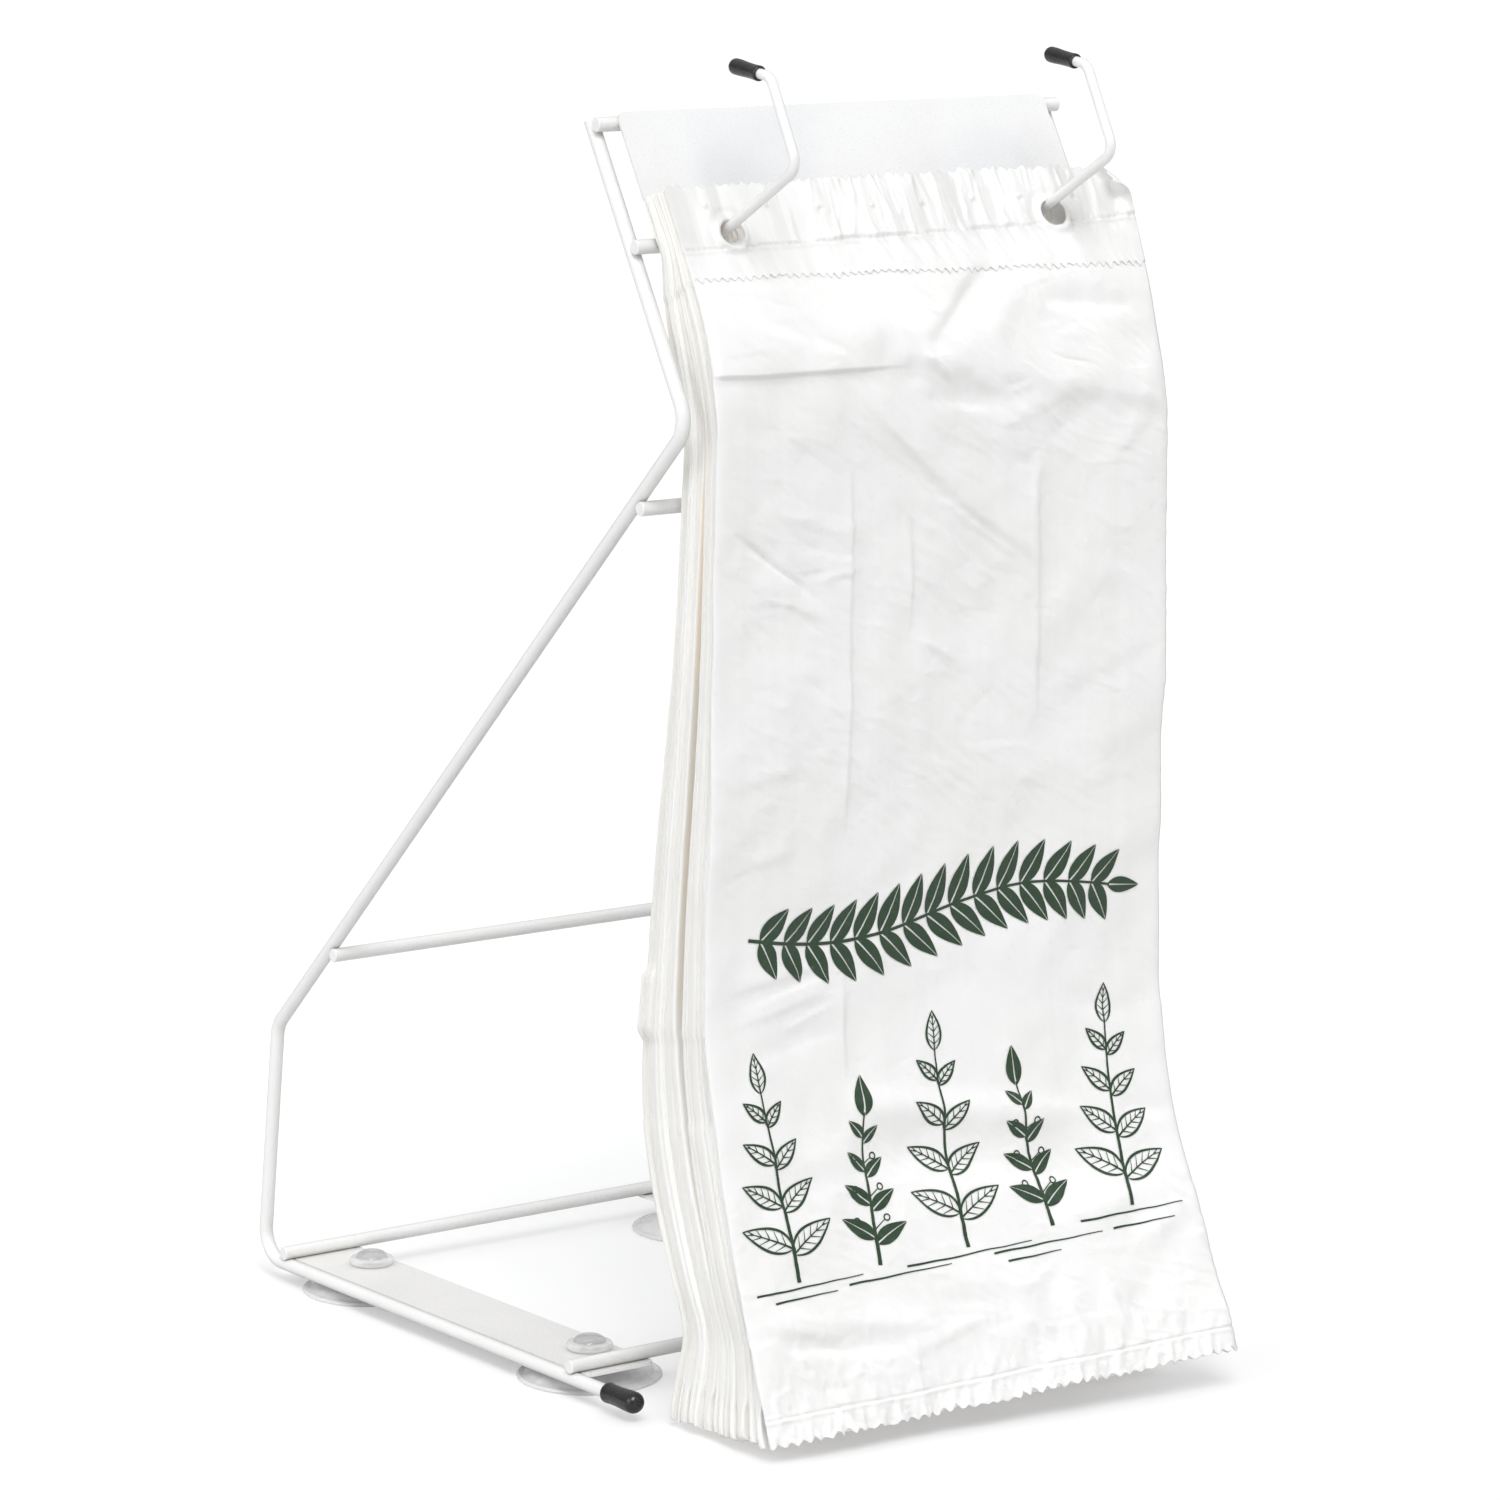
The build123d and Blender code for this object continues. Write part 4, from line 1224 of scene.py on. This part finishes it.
def build_bundle(i):
    """One bundle; tone differs by group, inner marks the faces beside the gap."""
    points, faces, tones, inner, start = [], [], [], [], 0
    for k, group in enumerate(GROUPS):
        if group.bundle != i:
            continue
        group_points, group_faces = build_group(k)
        count = len(group_points)
        points.append(group_points)
        faces.append(group_faces + start)
        tones.append(np.full(count, (0.62 * k + 0.13) % 1.0))
        beside_gap = [float(at_gap(group.front_depth)), float(at_gap(group.rear_depth))]
        inner.append(np.repeat(beside_gap, count // 2))
        start += count
    bundle = mesh_object(f"bag_bundle_{i + 1}_film", np.concatenate(points),
                         np.concatenate(faces), STACK_FILM, sharp_degrees=62)
    for name, values in (("tone", tones), ("inner", inner)):
        attribute = bundle.data.attributes.new(name, "FLOAT", "POINT")
        attribute.data.foreach_set("value", np.concatenate(values).astype(np.float32))
    return bundle


bundles = [build_bundle(i) for i in range(BUNDLES)]

# ---------------------------------------------------------------------------
# printing: leaf sprigs on the front film. Each shape is a list of (x, down) grids.
# ---------------------------------------------------------------------------
# angle 0 points up the bag; bend curves the tip sideways
Leaf = namedtuple("Leaf", "x down angle length width bend", defaults=(0.0,))
PRINT_LIFT = 0.42

# upright sprigs: x, height, drawn in line, ground down, lean
SPRIGS = [(-84, 84, True, 480, -0.06), (-43, 66, False, 478, 0.08), (2, 88, True, 476, 0.0),
          (46, 64, False, 472, -0.07), (88, 82, True, 468, 0.06)]
# strokes of the broken ground line: from x, to x, down
GROUND_STROKES = [(-106, -52, 483.5), (-30, 34, 480.5), (60, 114, 472), (-98, -66, 487.5),
                  (-60, -8, 484.5), (14, 70, 480.5), (76, 108, 477), (20, 48, 484.5)]
GARLAND_LEFT, GARLAND_RIGHT = -88.0, 96.0
GARLAND_LEAVES = 15
GARLAND_DOWN, GARLAND_CLIMB, GARLAND_WAVE = 331.0, 6.0, 6.5


def leaf_points(leaf, along, lateral):
    """Points at a share of the leaf's length and a distance off its midrib."""
    forward = along * leaf.length
    sideways = lateral + leaf.bend * (along ** 2) * leaf.length
    cos, sin = math.cos(leaf.angle), math.sin(leaf.angle)
    return np.stack([leaf.x + sideways * cos + forward * sin,
                     leaf.down - (forward * cos - sideways * sin)], -1)


def leaf_half_width(leaf, along):
    shape = np.sin(np.pi * np.clip(along, 0, 1) ** 0.8) ** 0.85 * (1 - 0.22 * along)
    return shape, shape * leaf.width / 2


def leaf_half(leaf, along, side, inner, outer, columns):
    """A grid between two lines on one side (-1 or 1) of the midrib."""
    grid = np.stack([leaf_points(leaf, along, side * (inner + (outer - inner) * share))
                     for share in np.linspace(0, 1, columns)], 1)
    return grid if side > 0 else grid[:, ::-1]


def solid_leaf(leaf, gap):
    """A leaf in two solid halves with a bare midrib."""
    along = np.linspace(0, 1, 23)
    inner = gap / 2 * (1 - along * 0.7)
    outer = np.maximum(leaf_half_width(leaf, along)[1], inner + 0.02)
    return [leaf_half(leaf, along, side, inner, outer, 6) for side in (-1, 1)]


def outline_leaf(leaf, line, veins=5):
    """A leaf drawn in line: outline, side veins and midrib."""
    along = np.linspace(0, 1, 26)
    shape, half_width = leaf_half_width(leaf, along)
    inner = np.maximum(half_width - line * (0.7 + 0.6 * shape), 0.0)
    outer = np.maximum(half_width, inner + 0.02)
    grids = []
    for side in (-1, 1):
        grids.append(leaf_half(leaf, along, side, inner, outer, 2))
        for k in range(veins):
            start = 0.16 + 0.62 * k / (veins - 1)
            end = start + 0.14
            reach = leaf_half_width(leaf, end)[1] * 0.74
            vein = leaf_points(leaf, np.linspace(start, end, 5),
                               side * np.linspace(0.1, reach, 5))
            grids.append(stroke(vein, line * 0.55, line * 0.25, 5))
    grids.append(stroke(leaf_points(leaf, along[:22], 0.0), line * 0.9, line * 0.4, 16))
    return grids


def stroke(points, start_width, end_width, count=24):
    """A tapering line through points."""
    points = np.array(points, float)
    lengths = path_lengths(points)
    count = max(count, int(lengths[-1] / 0.9))
    stations = np.linspace(0, lengths[-1], count)
    centre = np.stack([np.interp(stations, lengths, points[:, i]) for i in range(2)], -1)
    direction = np.gradient(centre, axis=0)
    direction /= np.linalg.norm(direction, axis=1)[:, None] + 1e-9
    half = np.linspace(start_width, end_width, count)[:, None] / 2
    across = np.stack([-direction[:, 1], direction[:, 0]], -1) * half
    return np.stack([centre - across, centre, centre + across], 1)


def berry(x, down, radius):
    """A small ring."""
    angle = np.linspace(0, 2 * np.pi, 18)[:, None]
    radii = np.array([radius * 0.62, radius])[None, :]
    return np.stack([x + radii * np.cos(angle), down + radii * np.sin(angle)], -1)


def sprig(x, height, in_line, ground, lean, sway):
    """A stem with four pairs of leaves, smaller upwards, and one at the tip."""
    tip_x, tip_down = x + lean * height, ground - height
    middle = (x + lean * height * 0.3 + sway, ground - height * 0.5)
    grids = [stroke([(x, ground), middle, (tip_x, tip_down)], 1.9, 0.7)]
    for p in range(4):
        share = 0.16 + 0.66 * p / 3
        joint_x, joint_down = x + lean * height * share, ground - height * share
        for side in (-1, 1):
            foot = (joint_x, joint_down + side * 1.2)
            if in_line:
                grids += outline_leaf(Leaf(*foot, side * (0.98 - 0.10 * p) + lean,
                                           25 - 3.6 * p, 12.5 - 1.7 * p, 0.10 * side),
                                      line=1.0, veins=5 - p // 2)
                continue
            grids += solid_leaf(Leaf(*foot, side * (0.95 - 0.10 * p) + lean,
                                     18 - 2.6 * p, 8.4 - 1.0 * p, 0.10 * side), gap=0.8)
            if p < 3:
                grids.append(berry(joint_x + side * (7.5 - p), joint_down - 9.5 + p, 1.7))
                stalk_end = (joint_x + side * (6.2 - p), joint_down - 8.8 + p)
                grids.append(stroke([(joint_x, joint_down - 4.5), stalk_end], 0.6, 0.4, 6))
    draw = outline_leaf if in_line else solid_leaf
    return grids + draw(Leaf(tip_x, tip_down + 1.5, lean, 18, 9), 0.9)


def garland():
    """A waving stem across the bag with leaves in pairs."""
    span = GARLAND_RIGHT - GARLAND_LEFT

    def stem_down(share):
        return GARLAND_DOWN - GARLAND_CLIMB * share + GARLAND_WAVE * np.sin(2 * np.pi * share)

    grids = []
    for k in range(GARLAND_LEAVES):
        share = (k + 0.2) / GARLAND_LEAVES
        slope = (GARLAND_WAVE * 2 * math.pi * math.cos(2 * math.pi * share)
                 - GARLAND_CLIMB) / span
        angle = math.pi / 2 + math.atan(slope)
        length = 23.0 * (0.82 + 0.22 * math.sin(math.pi * share))
        for side in (-1, 1):
            grids += solid_leaf(Leaf(GARLAND_LEFT + span * share, stem_down(share),
                                     angle - side * 0.86, length, 10.2, -0.10 * side), gap=0.9)
    grids += solid_leaf(Leaf(GARLAND_RIGHT - 1.0, stem_down(1.0), math.pi / 2 + 0.1, 17.0, 8.0),
                        gap=0.8)
    shares = np.linspace(-0.02, 1.0, 100)
    stem = np.stack([GARLAND_LEFT + span * shares, stem_down(shares)], -1)
    return grids + [stroke(stem, 1.6, 1.1, 100)]


def build_print():
    random = np.random.default_rng(91)
    grids = []
    for row in SPRIGS:
        grids += sprig(*row, sway=random.uniform(-1, 1))
    for k, (start, end, down) in enumerate(GROUND_STROKES):
        x = np.linspace(start, end, 30)
        wavering = down + 0.6 * perlin(x / 14.0, seed=171 + k) - (x - start) * 0.05
        grids.append(stroke(np.stack([x, wavering], -1), 1.0, 0.4, 30))
    grids += garland()
    points, faces, start = [], [], 0
    for grid in grids:
        points.append(front_at(grid[..., 0], grid[..., 1], PRINT_LIFT).reshape(-1, 3))
        faces.append(grid_faces(*grid.shape[:2]) + start)
        start += len(points[-1])
    return mesh_object("front_bag_print", np.concatenate(points), np.concatenate(faces), INK)


ink = build_print()

# ---------------------------------------------------------------------------
# turned pieces: vinyl caps on the wire ends, and suction cups
# ---------------------------------------------------------------------------
HOOK_WIRE_RADIUS = 2.25
FOOT_WIRE_RADIUS = 3.175
HOOK_END_AXIS = (0, 25.5, 3.5)
FOOT_END_AXIS = (0, -1, 0)
# cap, direction from its mouth to its closed end, wire radius
CAPS = [("hook_cap_left", HOOK_END_AXIS, HOOK_WIRE_RADIUS),
        ("hook_cap_right", HOOK_END_AXIS, HOOK_WIRE_RADIUS),
        ("foot_cap_left", FOOT_END_AXIS, FOOT_WIRE_RADIUS),
        ("foot_cap_right", FOOT_END_AXIS, FOOT_WIRE_RADIUS)]
CUP_HEAD_HEIGHT = 7.0
CUP_NECK_HEIGHT = 1.6


def smooth_profile(stations, per=6):
    """A smooth curve through (radius, height) stations, `per` steps between each two."""
    stations = np.array(stations, float)
    knots = path_lengths(stations)
    samples = [np.linspace(start, end, per, endpoint=False)
               for start, end in zip(knots[:-1], knots[1:])]
    return hermite(knots, stations, np.concatenate(samples + [[knots[-1]]]))


def turned_object(name, profile, origin, axes, material, segments):
    """Turns a (radius, height) profile about the third of three axes."""
    side_1, side_2, axis = (np.array(direction, float) for direction in axes)
    angle = np.linspace(0, 2 * np.pi, segments, endpoint=False)[:, None, None]
    points = (np.array(origin) + profile[None, :, 1, None] * axis
              + profile[None, :, 0, None] * (np.cos(angle) * side_1 + np.sin(angle) * side_2))
    here = np.arange(segments * len(profile)).reshape(segments, -1)
    turned = np.roll(here, -1, axis=0)
    faces = np.stack([here[:, :-1], turned[:, :-1], turned[:, 1:], here[:, 1:]], -1)
    made = mesh_object(name, points.reshape(-1, 3), faces.reshape(-1, 4), material)
    # weld the points on the axis
    work = bmesh.new()
    work.from_mesh(made.data)
    bmesh.ops.remove_doubles(work, verts=work.verts, dist=1e-6)
    bmesh.ops.recalc_face_normals(work, faces=work.faces)
    work.to_mesh(made.data)
    work.free()
    smooth_all(made.data)
    return made


def build_cap(name, axis, wire_radius):
    """A dipped cap: rolled lip, slightly full body and domed end."""
    corners = np.array([v.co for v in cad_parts[name].data.vertices], float) * 1000.0
    axis = np.array(axis, float)
    axis /= np.linalg.norm(axis)
    side_1 = np.cross(axis, (1.0, 0.0, 0.0))
    side_1 /= np.linalg.norm(side_1)
    side_2 = np.cross(axis, side_1)
    along, across_1, across_2 = corners @ axis, corners @ side_1, corners @ side_2
    length, radius = np.ptp(along), np.ptp(across_2) / 2
    origin = (axis * along.min() + side_1 * (across_1.max() + across_1.min()) / 2
              + side_2 * (across_2.max() + across_2.min()) / 2)
    full = radius * 1.05
    dome_height = radius * 0.95
    bore = [(0.0, 2.0), (wire_radius * 0.97, 2.0), (wire_radius * 0.99, 0.6)]
    body = smooth_profile([
        (wire_radius + 0.12, 0.25), (radius * 0.86, 0.0), (radius * 0.99, 0.55), (radius, 1.5),
        (radius * 0.97, 3.2), (radius * 0.98, length * 0.45), (full, length - radius * 1.5),
        (full, length - dome_height)], 5)
    angle = np.linspace(0, np.pi / 2, 16)[1:]
    dome = np.stack([full * np.cos(angle) ** 0.9,
                     length - dome_height + dome_height * np.sin(angle)], -1)
    dome[-1, 0] = 0.0
    cap = turned_object(name + "_vinyl", np.concatenate([bore, body, dome]), origin,
                        (side_1, side_2, axis), BLACK_VINYL, segments=72)
    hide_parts(name)
    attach(cap, "frame")


def cup_profile(rim, top):
    """(radius, height) from the hollow underside, over rim, bell and neck, to the head."""
    head_z = top - CUP_HEAD_HEIGHT
    neck_z = head_z - CUP_NECK_HEIGHT
    hollow = smooth_profile([(0, 6.4), (5, 6.35), (12, 5.6), (20, 3.9), (27, 1.8),
                             (rim - 2.0, 0.15)])
    bead = smooth_profile([(rim - 2.0, 0.15), (rim - 0.9, 0.0), (rim - 0.15, 0.45),
                           (rim - 0.1, 1.15), (rim - 0.9, 1.75), (rim - 2.2, 1.8)], 4)
    shoulder = smooth_profile([(rim - 2.2, 1.8), (rim - 3.6, 2.0), (27, 3.75), (22, 5.55),
                               (18.5, 6.85), (14, 8.3), (11.2, 9.2), (9.6, neck_z - 0.05)])
    neck = [(9.0, neck_z - 0.02), (5.6, neck_z), (4.9, neck_z + 0.05), (4.85, neck_z + 0.8),
            (4.9, head_z - 0.05), (5.6, head_z)]
    head = [(5.6, 0.0), (8.6, 0.1), (10.2, 0.9), (10.6, 2.2), (10.1, 3.3), (9.0, 3.7),
            (8.2, 3.6), (7.4, 4.6), (5.2, 6.2), (2.6, 6.85), (0.0, CUP_HEAD_HEIGHT)]
    head = smooth_profile([(radius, head_z + height) for radius, height in head], 5)
    profile = np.concatenate([hollow, bead[1:], shoulder[1:], neck, head])
    profile[:, 1] = np.maximum(profile[:, 1], 0.0)
    return profile


def build_cup(place):
    name = "suction_cup_" + place
    low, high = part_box(name)
    profile = cup_profile((high.x - low.x) / 2 * 1000, high.z * 1000)
    centre = ((low.x + high.x) / 2 * 1000, (low.y + high.y) / 2 * 1000, 0.0)
    cup = turned_object(name + "_vinyl", profile, centre, np.eye(3), CLEAR_VINYL,
                        segments=by_mode(96))
    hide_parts(name)
    return cup


for cap_row in CAPS:
    build_cap(*cap_row)
cups = {place: build_cup(place)
        for place in ("front_left", "front_right", "rear_left", "rear_right")}

# ---------------------------------------------------------------------------
# what the pieces replace and what they move with
# ---------------------------------------------------------------------------
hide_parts("front_bag")
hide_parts("bag_header_block")
for i, bundle in enumerate(bundles):
    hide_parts(f"bag_bundle_{i + 1}")
    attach(bundle, "bag_pack")
for place, cup in cups.items():
    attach(cup, f"cup_{place}")

for piece in (header_film, front_film, rear_film, ink):
    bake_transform(piece)

# ---------------------------------------------------------------------------
# floor, world, lights and camera, in metres
# ---------------------------------------------------------------------------
FLOOR_HALF = 60


def build_floor():
    mesh = bpy.data.meshes.new("floor")
    corners = [(i * FLOOR_HALF, j * FLOOR_HALF, 0) for i, j in ((-1, -1), (1, -1), (1, 1), (-1, 1))]
    mesh.from_pydata(corners, [], [(0, 1, 2, 3)])
    mesh.materials.append(floor_material("floor_pale"))
    floor = bpy.data.objects.new("floor", mesh)
    bpy.context.scene.collection.objects.link(floor)


def build_world():
    """Soft grey surroundings, brighter overhead, and white to the camera."""
    world = bpy.data.worlds.new("studio")
    bpy.context.scene.world = world
    world.use_nodes = True
    shader = Shader(world.node_tree, "Generated")
    sky = shader.ramp(shader.part(shader.place, "Z"), (0.0, (0.40, 0.402, 0.405)),
                      (0.35, (0.52, 0.523, 0.527)), (1.0, (0.90, 0.905, 0.91)))
    to_camera = shader.add("LightPath", output="Is Camera Ray")
    background = world.node_tree.nodes["Background"]
    shader.feed(background.inputs["Color"], shader.mix(to_camera, sky, 1.08))
    background.inputs["Strength"].default_value = 0.92


def direction(azimuth, elevation):
    """Unit vector towards a place around the stand; azimuth 0 is the front, negative left."""
    turn, rise = math.radians(azimuth), math.radians(elevation)
    return Vector((math.sin(turn) * math.cos(rise), -math.cos(turn) * math.cos(rise),
                   math.sin(rise)))


def soft_light(name, azimuth, elevation, strength, spread):
    """A broad distant light; angles are in degrees."""
    light = bpy.data.lights.new(name, "SUN")
    light.energy = strength
    light.angle = math.radians(spread)
    lamp = bpy.data.objects.new(name, light)
    bpy.context.scene.collection.objects.link(lamp)
    source = direction(azimuth, elevation)
    lamp.location = source * 2.0
    lamp.rotation_euler = source.to_track_quat("Z", "Y").to_euler()


def build_camera():
    lens = bpy.data.cameras.new("camera")
    lens.sensor_width = 36.0
    lens.lens = 134.4
    lens.clip_start, lens.clip_end = 0.1, 50
    camera = bpy.data.objects.new("camera", lens)
    bpy.context.scene.collection.objects.link(camera)
    camera.location = (-1.485381, -2.095656, 0.711651)
    camera.rotation_mode = "QUATERNION"
    view = -direction(azimuth=-36.42, elevation=9.90)
    camera.rotation_quaternion = view.to_track_quat("-Z", "Y")
    bpy.context.scene.camera = camera


build_floor()
build_world()
soft_light("key", azimuth=-30, elevation=52, strength=1.74, spread=30)
soft_light("side", azimuth=-88, elevation=24, strength=0.85, spread=40)
soft_light("fill", azimuth=64, elevation=34, strength=0.30, spread=30)
build_camera()
bpy.context.scene.view_settings.view_transform = "Standard"
bpy.context.scene.view_settings.look = "None"
